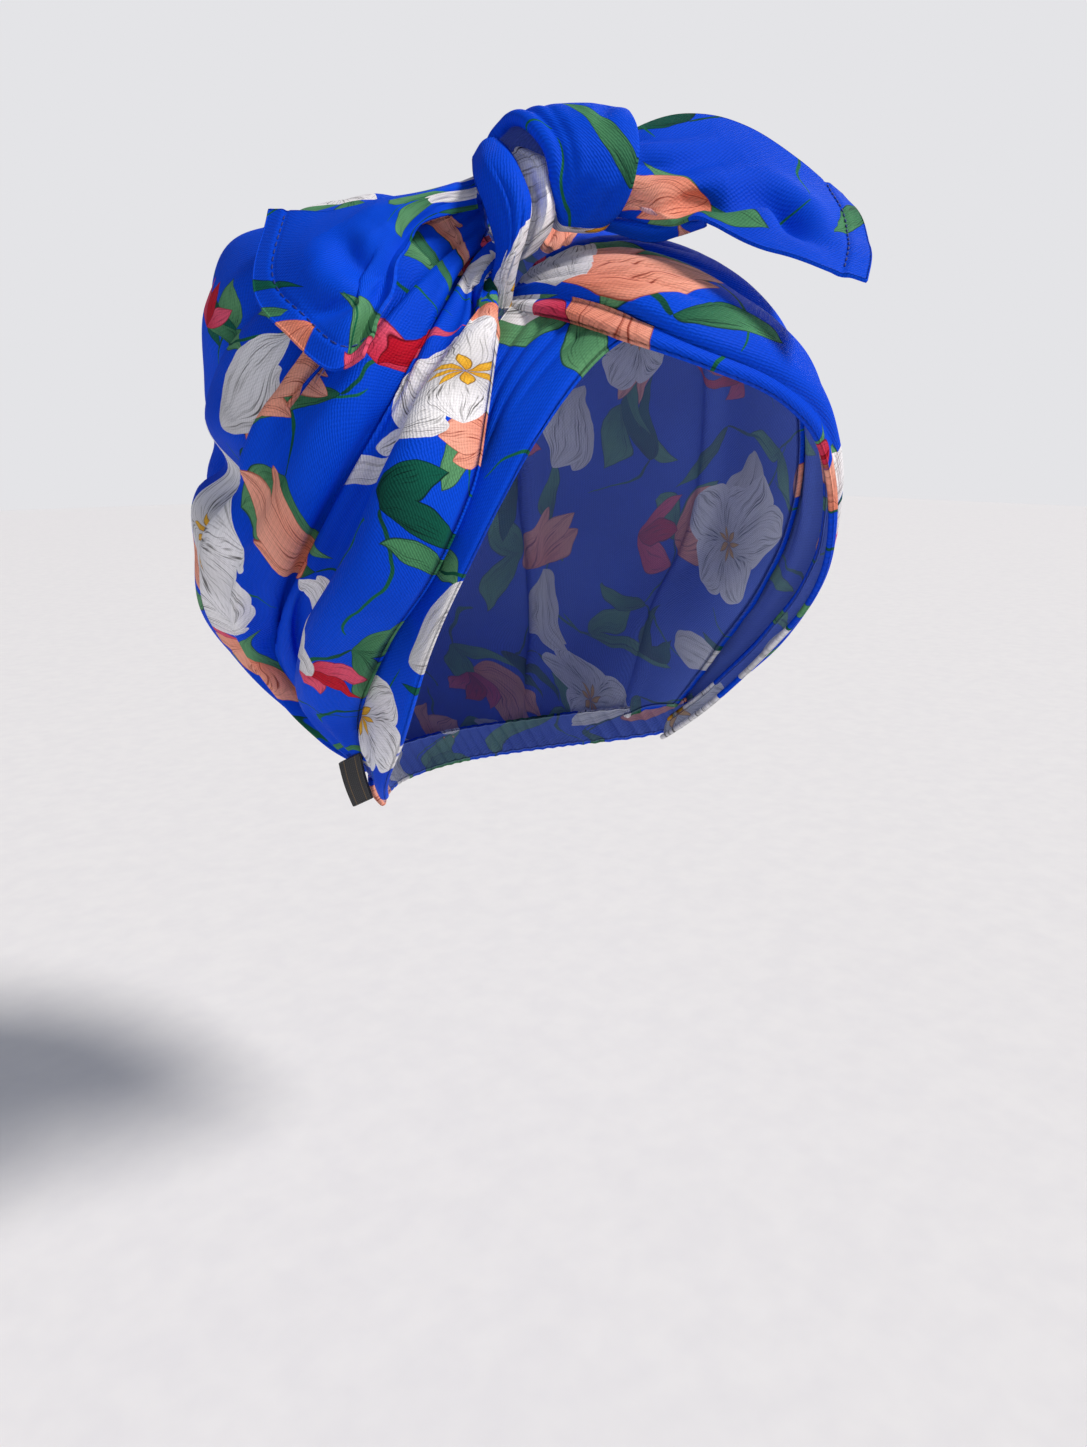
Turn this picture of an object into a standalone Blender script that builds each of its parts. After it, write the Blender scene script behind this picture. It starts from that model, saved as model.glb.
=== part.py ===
"""Pre-tied turban: gathered hood, face bands, knot, two tails, nape casing and label.

Lengths below are in millimetres and are turned into metres when a mesh is made.
The origin is the middle of the wearer's head at the height of the hat line.
The wearer looks toward -Y, the wearer's right side is -X and up is +Z.
"""
import bpy
import numpy as np

for old in list(bpy.data.objects):
    bpy.data.objects.remove(old, do_unlink=True)

METRE = 0.001
HEAD = np.array([79.0, 92.0, 112.0])      # half width, half depth, half height of the head
SLIMMER = 9.0                             # how much closer the head is at its left brow
LEFT_BROW = (-35.0, 20.0)                 # turn and rise of the left brow
CLOTH = 1.8                               # wall of the folded cloth
THIN = 1.6                                # wall of the flat bands
BLUE = (0.010, 0.070, 0.560)
PETAL = (0.800, 0.800, 0.830)
BLACK = (0.012, 0.012, 0.014)

# Frame of the knot: its middle, and the directions across it, up it and back from it
KNOT = np.array([-33.2, -21.7, 125.1])
ACROSS = np.array([0.780, -0.625, 0.0])
UP = np.array([0.162, 0.202, 0.966])
BACK = np.array([0.604, 0.754, -0.259])


def direction(turn, rise):
    """Unit vector (-sin a cos e, -cos a cos e, sin e); a = 0 in front, 90 on the head's right."""
    a = np.radians(turn)
    e = np.radians(rise)
    return np.stack([-np.sin(a) * np.cos(e), -np.cos(a) * np.cos(e), np.sin(e)], -1)


def head_radius(way):
    """Distance to the head along a unit vector: 1 / |way / HEAD| - SLIMMER cos(angle to brow)^4."""
    near_brow = np.maximum(np.sum(way * direction(*LEFT_BROW), -1), 0.0)
    return 1.0 / np.linalg.norm(way / HEAD, axis=-1) - SLIMMER * near_brow ** 4


def blend(knots, values, x):
    """Cubic curve through values at the knots, with slopes from the neighbouring knots."""
    k = np.asarray(knots, float)
    v = np.asarray(values, float)
    slope = np.gradient(v, k, axis=0)
    x = np.clip(np.asarray(x, float), k[0], k[-1])
    i = np.clip(np.searchsorted(k, x, side="right") - 1, 0, len(k) - 2)
    wide = (...,) + (None,) * (v.ndim - 1)
    h = (k[i + 1] - k[i])[wide]
    t = ((x - k[i]) / (k[i + 1] - k[i]))[wide]
    return ((2 * t ** 3 - 3 * t ** 2 + 1) * v[i] + (t ** 3 - 2 * t ** 2 + t) * h * slope[i]
            + (3 * t ** 2 - 2 * t ** 3) * v[i + 1] + (t ** 3 - t ** 2) * h * slope[i + 1])


def table_grid(rows_at, stations, table, rows, columns):
    """Values of a table of rows and stations, blended on a grid of rows by columns."""
    along = blend(stations, np.moveaxis(np.array(table, float), 1, 0), columns)
    return blend(rows_at, np.moveaxis(along, 1, 0), rows)


def over_head(rows_at, stations, table, rows, columns):
    """Grid of points from a table of (turn, rise, height above the head)."""
    t = np.array(table, float)
    packed = np.concatenate([direction(t[..., 0], t[..., 1]), t[..., 2:3]], -1)
    grid = table_grid(rows_at, stations, packed, rows, columns)
    way = grid[..., :3] / np.linalg.norm(grid[..., :3], axis=-1, keepdims=True)
    return way * (head_radius(way) + grid[..., 3])[..., None]


def at_knot(rows_at, stations, table, rows, columns):
    """Grid of points from a table of (across, up, back) in the frame of the knot."""
    grid = table_grid(rows_at, stations, table, rows, columns)
    return KNOT + grid[..., 0:1] * ACROSS + grid[..., 1:2] * UP + grid[..., 2:3] * BACK


def normals(grid, inside):
    """Unit normals of a grid, turned away from the point or points named inside."""
    n = np.cross(np.gradient(grid, axis=0), np.gradient(grid, axis=1))
    n /= np.maximum(np.linalg.norm(n, axis=-1, keepdims=True), 1e-9)
    return n * np.sign(np.median(np.sum(n * (grid - inside), -1)))


def toward_head(grid, wall):
    """Inner face of a shell: each point drawn in toward the origin by wall / cos(tilt)."""
    r = np.linalg.norm(grid, axis=-1, keepdims=True)
    tilt = np.abs(np.sum(normals(grid, 0.0) * grid / r, -1, keepdims=True))
    return grid * (1.0 - wall / np.maximum(tilt, 0.5) / r)


def toward_chord(grid, wall):
    """Inner face of a strand: each point drawn toward the middle of its open side."""
    middle = 0.5 * (grid[:1] + grid[-1:])
    away = grid - middle
    return grid - wall * away / np.linalg.norm(away, axis=-1, keepdims=True)


def shell(name, outer, inner, colour, rough, ring=False):
    """One closed body between two grids of points; ring joins the first row to the last."""
    n, m = outer.shape[:2]
    verts = np.concatenate([outer.reshape(-1, 3), inner.reshape(-1, 3)]) * METRE
    faces = []
    last = n if ring else n - 1
    for i in range(last):
        for j in range(m - 1):
            a = i * m + j
            b = ((i + 1) % n) * m + j
            faces.append((a, b, b + 1, a + 1))
            faces.append((a + n * m, a + 1 + n * m, b + 1 + n * m, b + n * m))
    for i in range(last):
        for j in (0, m - 1):
            a = i * m + j
            b = ((i + 1) % n) * m + j
            edge = (a, a + n * m, b + n * m, b)
            faces.append(edge if j == 0 else edge[::-1])
    if not ring:
        for j in range(m - 1):
            for i in (0, n - 1):
                a = i * m + j
                edge = (a, a + 1, a + 1 + n * m, a + n * m)
                faces.append(edge if i == 0 else edge[::-1])
    mesh = bpy.data.meshes.new(name)
    mesh.from_pydata(verts.tolist(), [], faces)
    mesh.update()
    volume = 0.0
    for face in mesh.polygons:
        p = [mesh.vertices[v].co for v in face.vertices]
        for k in range(1, len(p) - 1):
            volume += p[0].dot(p[k].cross(p[k + 1]))
    if volume < 0:
        mesh.flip_normals()
    mesh.polygons.foreach_set("use_smooth", [True] * len(mesh.polygons))
    material = bpy.data.materials.new(name + "_cloth")
    material.use_nodes = True
    shader = material.node_tree.nodes["Principled BSDF"]
    shader.inputs["Base Color"].default_value = (*colour, 1.0)
    shader.inputs["Roughness"].default_value = rough
    mesh.materials.append(material)
    body = bpy.data.objects.new(name, mesh)
    bpy.context.scene.collection.objects.link(body)
    return body


# Crown: the hood. Each row runs from the knot to the nape; the rows follow the folds from
# the right lip round the back to the left edge, which lies under the upper left band.
# Columns are eight stations of (turn, rise, height above the head).
CROWN_ACROSS = [0, .05, .10, .17, .23, .29, .34, .41, .50, .60, .71, .82, .91, .965, 1]
CROWN_ALONG = [0, .12, .27, .42, .57, .72, .87, 1]
CROWN = [
    [(70, 62, 9), (64, 53, 9), (61.5, 40, 9), (62.5, 28, 9), (70, 13, 9), (82, 0, 9),
     (97, -14, 9), (112, -27, 7)],                                     # right lip
    [(71.5, 63, 12), (69.5, 53, 16), (69, 41, 20.5), (70.5, 29, 23), (78, 14, 23.5),
     (91, 1, 23.5), (107, -14, 20), (118, -31, 7)],                    # first soft fold
    [(73, 64, 15.5), (74, 52, 14), (75.3, 39, 15.5), (80, 27.6, 16.5), (90.5, 14.6, 15.5),
     (104, 2, 15), (117, -12, 12), (124, -34, 7)],                     # long hard crease
    [(75, 65, 20), (79, 56, 24), (81, 42, 30), (85, 30, 33), (94.5, 16, 34), (108, 3, 35),
     (120, -11, 28), (127, -35.5, 7)],                                 # broad fold
    [(78, 66.5, 24), (83, 58, 25), (86, 44, 30), (89.5, 32.5, 33), (98, 17.5, 33.5),
     (112, 4, 35), (124, -10, 29), (130, -36, 7)],                     # soft valley
    [(81, 68, 26), (85, 58, 31), (87, 44, 36), (91.5, 32, 39.5), (101, 18.5, 41),
     (116, 6.5, 43), (127, -8, 36), (133, -36, 7)],                    # fold
    [(85, 69.5, 27), (88, 57, 33), (89, 43, 37), (94, 30, 40), (105, 19.3, 41),
     (120, 9, 44.5), (130, -6, 40), (136, -36, 7)],                    # valley
    [(92, 71.5, 26), (95, 60, 38), (98, 47, 46), (107, 35, 49), (119, 24, 47),
     (131, 12, 50), (135, -5, 46), (139, -36, 7)],                     # fold at the back right
    [(105, 73, 21), (113, 63, 36), (122, 54, 53), (133, 44, 67), (138, 30, 52),
     (143, 14, 50), (146, -4, 44), (148, -36, 7)],                     # shoulder
    [(112, 76, 14), (140, 68, 33), (150, 54, 55), (157, 40, 61), (161, 25, 52),
     (164, 10, 49), (166, -8, 42), (164, -36, 7)],                     # back
    [(100, 79, 9), (180, 76, 24), (188, 58, 44), (190, 42, 49), (191, 25, 45),
     (192, 8, 42), (192, -12, 35), (188, -36, 7)],
    [(75, 79.5, 4), (240, 80, 16), (232, 66, 31), (229, 46, 34), (226, 27, 32),
     (224, 8, 29), (221, -13, 24), (212, -36, 7)],
    [(60, 78.5, 2.8), (-60, 83, 6), (-86, 71, 13), (-97, 52, 17), (-104, 32, 17),
     (-111, 12, 15), (-122, -10, 12), (-128, -35, 7)],
    [(54, 77.5, 2.8), (0, 80, 3), (-32, 72.5, 3.4), (-59, 60.5, 3.4), (-78, 34, 3.4),
     (-93, 10, 3.4), (-108, -11, 3.4), (-119, -32, 3.4)],              # edge of the upper band
    [(48, 76, 2.8), (8, 73, 2.8), (-14, 63, 2.8), (-40, 53, 2.8), (-60, 36, 2.8),
     (-79, 13, 2.8), (-98, -12, 2.8), (-112, -31, 2.8)],               # left edge, under the band
]
crown = over_head(CROWN_ACROSS, CROWN_ALONG, CROWN, np.linspace(0, 1, 47), np.linspace(0, 1, 23))
shell("crown", crown, toward_head(crown, CLOTH), BLUE, 0.6)

# Right band: a flat band along the face edge, its back part under the lip of the hood.
RIGHT_BAND_ACROSS = [0, .33, .67, 1]
RIGHT_BAND = [
    [(28, 56, 2.9), (40, 51.5, 3), (52.6, 39.6, 3), (59.3, 28.2, 3), (66, 16, 3), (75, 0, 3),
     (88, -21, 3), (115, -39, 3.2)],                                   # face edge
    [(40, 60, 2.9), (50, 54, 3.6), (59, 43, 4.6), (63.5, 30, 4.8), (70, 16.5, 4.6),
     (80, 0, 4.4), (94, -19, 4.4), (115.8, -37, 4)],
    [(54, 63.5, 2.9), (60, 57, 3.6), (66, 46, 4.8), (68, 32, 5), (74, 16.5, 4.8),
     (86, 0, 4.6), (99, -17, 4.6), (116.4, -35, 4)],
    [(66, 66, 2.9), (70, 59, 3.4), (72, 48, 4), (72.5, 33, 4), (79, 16, 4), (92, 0, 4),
     (104, -16, 4), (117, -33, 3.6)],                                  # back edge
]
right_band = over_head(RIGHT_BAND_ACROSS, CROWN_ALONG, RIGHT_BAND,
                       np.linspace(0, 1, 8), np.linspace(0, 1, 30))
shell("right_band", right_band, toward_head(right_band, THIN), BLUE, 0.6)

# Lower left band: over the start of the right band, then along the left face edge.
LOWER_ALONG = [0, .09, .19, .31, .42, .54, .70, .86, 1]
LOWER_ACROSS = [0, .5, 1]
LOWER_BAND = [
    [(64, 60, 5.4), (48, 56, 5.4), (33, 51.3, 5.2), (14, 46.5, 4.2), (-4, 42.7, 3.2),
     (-22, 36.5, 3), (-48, 15, 3), (-82, -14, 3), (-114, -40, 3)],     # face edge
    [(64, 63, 5.6), (47.5, 59.5, 5.6), (33, 55, 5.6), (14.5, 49.7, 4.6), (-3.5, 45.8, 4),
     (-23, 39.5, 3.6), (-49.5, 17.7, 3.4), (-83, -11, 3.4), (-114, -37, 3.2)],
    [(64, 66, 5.4), (47, 63, 5.4), (33, 58.8, 5.2), (15, 53, 4), (-3, 49, 3),
     (-24, 42.5, 2.8), (-51, 20.5, 2.8), (-84, -8, 2.8), (-113.5, -34.5, 2.8)],
]
lower_band = over_head(LOWER_ACROSS, LOWER_ALONG, LOWER_BAND,
                       np.linspace(0, 1, 6), np.linspace(0, 1, 34))
shell("left_band_lower", lower_band, toward_head(lower_band, THIN), BLUE, 0.6)

# Upper left band: the wide outer band with a soft crease along its far part.
UPPER_ALONG = [0, .15, .30, .45, .58, .79, 1]
UPPER_ACROSS = [0, .12, .35, .62, .8, 1]
UPPER_BAND = [
    [(66, 61.5, 8.2), (41, 57.3, 8), (20, 49.3, 7.2), (-2, 44.3, 6.2), (-24, 38, 6.2),
     (-64, 5, 6), (-114, -36.5, 5.8)],                               # lower edge
    [(66, 63, 9), (40.5, 59.5, 9), (17.5, 52, 8.6), (-3, 47, 7.4), (-26, 40.5, 7),
     (-65, 7, 6.8), (-114, -35.5, 6.4)],
    [(65.5, 66.5, 7.8), (37, 65.5, 8), (12, 58, 8.8), (-6, 53, 8), (-32, 45.5, 7.6),
     (-68, 11.5, 7.2), (-113.5, -33, 6.6)],
    [(65, 70.5, 6), (33, 72, 6), (2, 65, 6.2), (-12, 60, 6.2), (-40, 51, 6.4),
     (-72, 16.5, 6.6), (-113, -30, 6.4)],                              # crease
    [(64.5, 73, 5.8), (30, 76, 5.8), (-6, 69.5, 6.8), (-17, 65, 7.2), (-46, 54.5, 7.2),
     (-75, 20, 7), (-112.5, -28, 6.6)],
    [(64, 75.5, 5.2), (25, 80, 5.2), (-16, 74, 5.6), (-24, 70, 5.8), (-54, 58, 5.8),
     (-79, 24, 5.8), (-112, -26, 5.8)],                                # upper edge
]
upper_band = over_head(UPPER_ACROSS, UPPER_ALONG, UPPER_BAND,
                       np.linspace(0, 1, 10), np.linspace(0, 1, 34))
shell("left_band_upper", upper_band, toward_head(upper_band, THIN), BLUE, 0.6)

# Knot collar: the wide wrap round the knot, a barrel lying across, its left rim slanting.
# Columns: turn round the barrel (0 below, .25 near, .5 top, .75 far), left rim, right rim.
COLLAR_RIMS = [
    (0, 0, 13), (.125, -1, 17.5), (.25, -2.5, 19.5), (.375, -8.8, 17.5), (.5, -15, 12.5),
    (.6, -19, 11), (.7, -12, 10), (.8, -6, 10), (.9, -2, 11), (1, 0, 13),
]
COLLAR_WIDTH = [0, .06, .14, .35, .65, .9, 1]
COLLAR_ROUND = [.91, .94, .96, .985, 1, .975, .94]
COLLAR_SET = [0, .04, .11, .34, .66, .91, 1]
COLLAR_UP = 16.2
COLLAR_DOWN = 15.0
COLLAR_BACK = 14.0
turn = np.linspace(0, 1, 33)[:-1]
width = np.array([0, .05, .14, .3, .5, .75, .92, 1.0])
rims = blend([r[0] for r in COLLAR_RIMS], np.array(COLLAR_RIMS)[:, 1:], turn)
bulge = blend(COLLAR_WIDTH, COLLAR_ROUND, width)[None, :]
place = blend(COLLAR_WIDTH, COLLAR_SET, width)[None, :]
across = rims[:, 0:1] + (rims[:, 1:2] - rims[:, 0:1]) * place


def collar_point(shrink):
    """Barrel point: across, up = 0.7 - a cos t, back = -b sin t, radii a and b less shrink."""
    tall = np.where(np.cos(2 * np.pi * turn) > 0, COLLAR_DOWN, COLLAR_UP)[:, None]
    a = (tall * bulge - shrink) * -np.cos(2 * np.pi * turn)[:, None] + 0.7
    b = (COLLAR_BACK * bulge - shrink) * -np.sin(2 * np.pi * turn)[:, None]
    return KNOT + across[..., None] * ACROSS + a[..., None] * UP + b[..., None] * BACK


shell("knot_collar", collar_point(0.0), collar_point(THIN), BLUE, 0.6, ring=True)

# Front loop of the knot: a crescent that rolls over from the hood into the wrap.
# Columns are five stations from the pinch to the top of (across, up, back).
STRAND_ALONG = [0, .3, .55, .8, 1]
STRAND_ACROSS = [0, .35, .7, 1]
FRONT_LOOP = [
    [(-17, -29, -3.8), (-17, -22, -6.3), (-19.5, -13, -7.3), (-22.5, -4, -6.8), (-23.5, 5.5, 1.2)],
    [(-15.5, -32.5, -8.8), (-13.5, -23.5, -12.3), (-14.5, -13.5, -14.3), (-19, -2.5, -11.3), (-20.5, 8.5, -1.3)],
    [(-12, -32.5, -8.8), (-8.5, -22, -11.8), (-8.5, -12.5, -13.8), (-13, -1, -10.8), (-17, 9, -1.8)],
    [(-10.5, -28.5, -3.8), (-8.5, -18.5, -6.3), (-7.5, -11, -8.3), (-11, -0.5, -6.3), (-14, 8.5, 1.7)],
]
loop = at_knot(STRAND_ACROSS, STRAND_ALONG, FRONT_LOOP, np.linspace(0, 1, 10), np.linspace(0, 1, 14))
shell("knot_front_loop", loop, toward_chord(loop, THIN), BLUE, 0.6)

# Inner strand: the pale strip between the loop and the wrap.
INNER_STRAND = [
    [(-15, -23.5, -1), (-12, -17.5, -3), (-11, -10.5, -5), (-13.5, -0.5, -3), (-16.5, 3.5, 5.5)],
    [(-12.5, -23.5, -1), (-8.5, -19, -4), (-7, -10.5, -6), (-10, 1, -4.5), (-14.5, 6, 4.5)],
    [(-9, -23, -2), (-5, -18.5, -7), (-3.5, -11.5, -10), (-6, 0.5, -7), (-12, 9.5, 3.5)],
    [(-6, -20, 0), (-2, -15.5, -4), (-1.5, -9, -6), (-3, 1.5, -4), (-9, 10.5, 6)],
]
inner = at_knot(STRAND_ACROSS, STRAND_ALONG, INNER_STRAND, np.linspace(0, 1, 8), np.linspace(0, 1, 12))
shell("knot_inner_strand", inner, toward_chord(inner, 1.2), PETAL, 0.6)

# Tuck: the short lower strand between the wrap, the right tail and the bands.
TUCK = [
    [(18.5, -9, 5), (24, -8, 4), (32, -7, 5), (39.5, -6, 6)],
    [(18.5, -14, -1.9), (24, -14.5, -0.9), (31, -14.5, -0.9), (39, -11, 0.6)],
    [(18.5, -15.5, 5), (24, -16.5, 4), (32, -16, 5), (40, -13.5, 6)],
]
tuck = at_knot([0, .5, 1], [0, .33, .66, 1], TUCK, np.linspace(0, 1, 6), np.linspace(0, 1, 10))
shell("knot_tuck", tuck, toward_chord(tuck, 1.2), BLUE, 0.6)

# Left tail: from behind the loop out over the shoulder of the hood, with a fold in it.
LEFT_TAIL_ALONG = [0, .2, .45, .75, 1]
LEFT_TAIL_ACROSS = [0, .12, .28, .5, .75, 1]
LEFT_TAIL = [
    [(-21.5, -10, -2.8), (-34.5, -16.5, -9), (-39.5, -27, -14), (-43.5, -42, -22), (-48, -57, -25)],
    [(-21.5, -8.5, -3), (-33.8, -14.8, -8.6), (-41, -25, -12.5), (-46, -41.5, -18.5), (-51.5, -58.5, -23)],
    [(-21.5, -7, -3.2), (-33, -13, -9), (-43, -24.5, -16), (-49, -43.5, -24), (-56.5, -59.5, -23)],
    [(-21.5, -4.5, -2.8), (-31.8, -10.5, -9), (-45, -21, -17), (-58.5, -39, -20), (-67.5, -49.5, -18)],
    [(-22, -2, -1.8), (-30.5, -7.5, -7.5), (-45.5, -15.5, -14), (-63.5, -25.5, -15), (-78.5, -34.5, -9)],
    [(-22.5, 0.5, 0.2), (-30, -4.5, -3.5), (-45.5, -10, -8), (-62, -11, -3), (-79, -6.5, 5)],
]
left_tail = at_knot(LEFT_TAIL_ACROSS, LEFT_TAIL_ALONG, LEFT_TAIL,
                    np.linspace(0, 1, 16), np.linspace(0, 1, 16))
shell("left_tail", left_tail, left_tail - THIN * normals(left_tail, 0.0), BLUE, 0.6)

# Right tail: out of the wrap, up and over the bands to the head's left.
RIGHT_TAIL_ALONG = [0, .15, .35, .55, .8, 1]
RIGHT_TAIL_ACROSS = [0, .3, .6, .8, 1]
RIGHT_TAIL = [
    [(13.5, 10.5, 3), (26, 18.5, 6), (39.5, 22, 10), (53, 21, 14), (68.5, 13.5, 18), (81.5, 6, 22)],
    [(13.5, 3, -6), (24, 6.5, -3), (38, 9, 2), (52, 8.5, 6), (66.5, 1.5, 8), (82.5, -4.5, 11)],
    [(13.5, -6, -6.5), (23.5, -7.5, -6.5), (37, -4.5, -4), (50, -4, 0), (64.5, -9.5, -1), (82, -16.5, 1)],
    [(13.5, -9.5, -2.8), (25, -13, -7.3), (37, -9, -3), (48.5, -14.5, -8), (62.5, -19.5, -9),
     (80, -25.5, -8)],
    [(14, -9.5, 2.7), (27, -15.5, -4.3), (36, -16, -9), (47.5, -24, -14), (60, -29, -16), (76.5, -35, -16)],
]
right_tail = at_knot(RIGHT_TAIL_ACROSS, RIGHT_TAIL_ALONG, RIGHT_TAIL,
                     np.linspace(0, 1, 12), np.linspace(0, 1, 20))
shell("right_tail", right_tail,
      right_tail - CLOTH * normals(right_tail, KNOT + 40 * ACROSS - 10 * UP + 40 * BACK), BLUE, 0.6)

# Nape casing: a flat double strip at the back of the neck, under the hem of the hood.
CASING_ALONG = [0, .25, .5, .75, 1]
CASING = [
    [(117.8, -40, 4), (150, -41, 4.2), (180, -41, 4.2), (210, -41, 4.2), (245, -40, 4)],
    [(118.8, -34.5, 4), (150, -34, 4.2), (180, -34, 4.2), (210, -34, 4.2), (245, -34.5, 4)],
]
casing = over_head([0, 1], CASING_ALONG, CASING, np.linspace(0, 1, 3), np.linspace(0, 1, 24))
shell("nape_casing", casing, toward_head(casing, 2.8), BLUE, 0.6)

# Label: a small plain tab at the end of the lip.
LABEL_CORNERS = np.array([
    [[-76.5, 38.0, -46.0], [-74.5, 37.0, -62.0]],
    [[-75.2, 30.5, -44.8], [-73.0, 29.5, -60.5]],
])
label = blend([0, 1], blend([0, 1], np.moveaxis(LABEL_CORNERS, 1, 0), np.linspace(0, 1, 5)).swapaxes(0, 1),
              np.linspace(0, 1, 3))
shell("label", label, label - 1.0 * normals(label, 0.0), BLACK, 0.7)
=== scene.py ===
"""Looks of the pre-tied turban: printed crepe, folded, gathered and knotted.

Shapes are worked out in millimetres in the frame of the part and are stored in metres.
The origin is the middle of the wearer's head; the wearer looks toward -Y, right is -X, up is +Z.
"""

import bpy
import numpy as np
from mathutils import Matrix


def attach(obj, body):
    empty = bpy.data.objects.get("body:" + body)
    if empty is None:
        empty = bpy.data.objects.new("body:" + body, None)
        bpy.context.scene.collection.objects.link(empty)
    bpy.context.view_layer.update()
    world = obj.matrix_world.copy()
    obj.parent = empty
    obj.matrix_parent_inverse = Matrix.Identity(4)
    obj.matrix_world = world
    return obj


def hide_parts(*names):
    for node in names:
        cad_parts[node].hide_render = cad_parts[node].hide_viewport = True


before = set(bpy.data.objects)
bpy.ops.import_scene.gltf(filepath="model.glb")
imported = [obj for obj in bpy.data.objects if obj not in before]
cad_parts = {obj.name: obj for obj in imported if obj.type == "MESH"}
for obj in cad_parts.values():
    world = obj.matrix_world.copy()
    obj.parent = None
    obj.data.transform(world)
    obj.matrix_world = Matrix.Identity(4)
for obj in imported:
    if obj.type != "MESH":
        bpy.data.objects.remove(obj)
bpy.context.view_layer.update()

# Crown: the hood, one wide panel of printed polyester crepe. It is gathered into the knot above
# the brow and into the casing at the nape, and stands out at the back in long soft folds.
HEAD = np.array([79.0, 92.0, 112.0])  # half width, half depth, half height of the head
SLIMMER = 9.0  # how much closer the head is at its left brow
LEFT_BROW = (-35.0, 20.0)
METRE = 0.001
CROWN_WALL = 1.8
LIP_EXTRA = 1.4  # how much thicker the rolled lip is, and over what width
LIP_WIDE = 3.0


def direction(turn, rise):
    """Unit vector (-sin a cos e, -cos a cos e, sin e); a = 0 in front, 90 on the head's right."""
    a = np.radians(turn)
    e = np.radians(rise)
    return np.stack([-np.sin(a) * np.cos(e), -np.cos(a) * np.cos(e), np.sin(e)], -1)


def unit(way):
    """Vectors scaled to length 1; those of no length stay as they are."""
    return way / np.maximum(np.linalg.norm(way, axis=-1, keepdims=True), 1e-9)


def head_radius(way):
    """Distance to the head along a unit vector: 1 / |way / HEAD| - SLIMMER cos(angle to brow)^4."""
    near_brow = np.maximum(np.sum(way * direction(*LEFT_BROW), -1), 0.0)
    return 1.0 / np.linalg.norm(way / HEAD, axis=-1) - SLIMMER * near_brow ** 4


def blend(knots, values, x):
    """Cubic curve through values at the knots, with slopes from the neighbouring knots."""
    k = np.asarray(knots, float)
    v = np.asarray(values, float)
    slope = np.gradient(v, k, axis=0)
    x = np.clip(np.asarray(x, float), k[0], k[-1])
    i = np.clip(np.searchsorted(k, x, side="right") - 1, 0, len(k) - 2)
    wide = (...,) + (None,) * (v.ndim - 1)
    h = (k[i + 1] - k[i])[wide]
    t = ((x - k[i]) / (k[i + 1] - k[i]))[wide]
    return ((2 * t ** 3 - 3 * t ** 2 + 1) * v[i] + (t ** 3 - 2 * t ** 2 + t) * h * slope[i]
            + (3 * t ** 2 - 2 * t ** 3) * v[i + 1] + (t ** 3 - t ** 2) * h * slope[i + 1])


def table_grid(rows_at, stations, table, rows, columns):
    """Values of a table of rows and stations, blended on a grid of rows by columns."""
    along = blend(stations, np.moveaxis(np.array(table, float), 1, 0), columns)
    return blend(rows_at, np.moveaxis(along, 1, 0), rows)


def over_head(rows_at, stations, table):
    """Surface from a table of (turn, rise, height above the head), as a function of two parameters."""
    t = np.array(table, float)
    packed = np.concatenate([direction(t[..., 0], t[..., 1]), t[..., 2:3]], -1)

    def surface(rows, columns):
        grid = table_grid(rows_at, stations, packed, rows, columns)
        way = unit(grid[..., :3])
        return way * (head_radius(way) + grid[..., 3])[..., None]
    return surface


def arc(grid, axis):
    """Running length along one axis of a grid of points, from its first row or column."""
    step = np.linalg.norm(np.diff(grid, axis=axis), axis=-1)
    return np.concatenate([np.zeros_like(np.take(step, [0], axis)), np.cumsum(step, axis)], axis)


def even(surface, rows, columns, dense=()):
    """Row and column parameters at even distances on the surface, on the average.

    dense names rows where the rows lie closer: each adds 4 exp(-((u - row) / 0.02)^2) to their share.
    """
    fine = np.linspace(0, 1, 801)
    grid = surface(fine, fine[::4])
    down = arc(grid, 0).mean(1)
    over = arc(grid, 1).mean(0)
    share = 1.0 + sum(4.0 * np.exp(-((fine - row) / 0.02) ** 2) for row in dense)
    down = np.concatenate([[0], np.cumsum(np.diff(down) * (share * np.ones(801))[1:])])
    return (np.interp(np.linspace(0, down[-1], rows), down, fine),
            np.interp(np.linspace(0, over[-1], columns), over, fine[::4]))


def normals(grid, inside=0.0, ring=False):
    """Unit normals of a grid, turned away from the point or points named inside."""
    if ring:
        down = (np.roll(grid, -1, 0) - np.roll(grid, 1, 0)) * 0.5
    else:
        down = np.gradient(grid, axis=0)
    n = unit(np.cross(down, np.gradient(grid, axis=1)))
    return n * np.sign(np.median(np.sum(n * (grid - inside), -1)))


def smooth(a, b, x):
    """Rises from 0 at a to 1 at b as 3 t^2 - 2 t^3."""
    t = np.clip((x - a) / (b - a), 0.0, 1.0)
    return t * t * (3.0 - 2.0 * t)


def neighbours(grid, axis, ring, **ends):
    """The values before, at and after each point along an axis; ends says how np.pad goes on."""
    pads = [(0, 0)] * grid.ndim
    pads[axis] = (1, 1)
    if ring and axis == 0:
        ends = {"mode": "wrap"}
    wide = np.pad(grid, pads, **ends)
    return [np.take(wide, range(k, k + grid.shape[axis]), axis) for k in (0, 1, 2)]


def soften(grid, times, ring=False):
    """Evens a grid out: each value becomes 1/4 + 1/2 + 1/4 of its neighbours and itself, both ways."""
    for _ in range(times):
        for axis in (0, 1):
            a, b, c = neighbours(grid, axis, ring, mode="reflect", reflect_type="odd")
            grid = 0.25 * a + 0.5 * b + 0.25 * c
    return grid


def across_at(across, rows, line):
    """Distance across the grid at the row that a line has in each column."""
    return np.array([np.interp(line[j], rows, across[:, j]) for j in range(len(line))])


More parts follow.
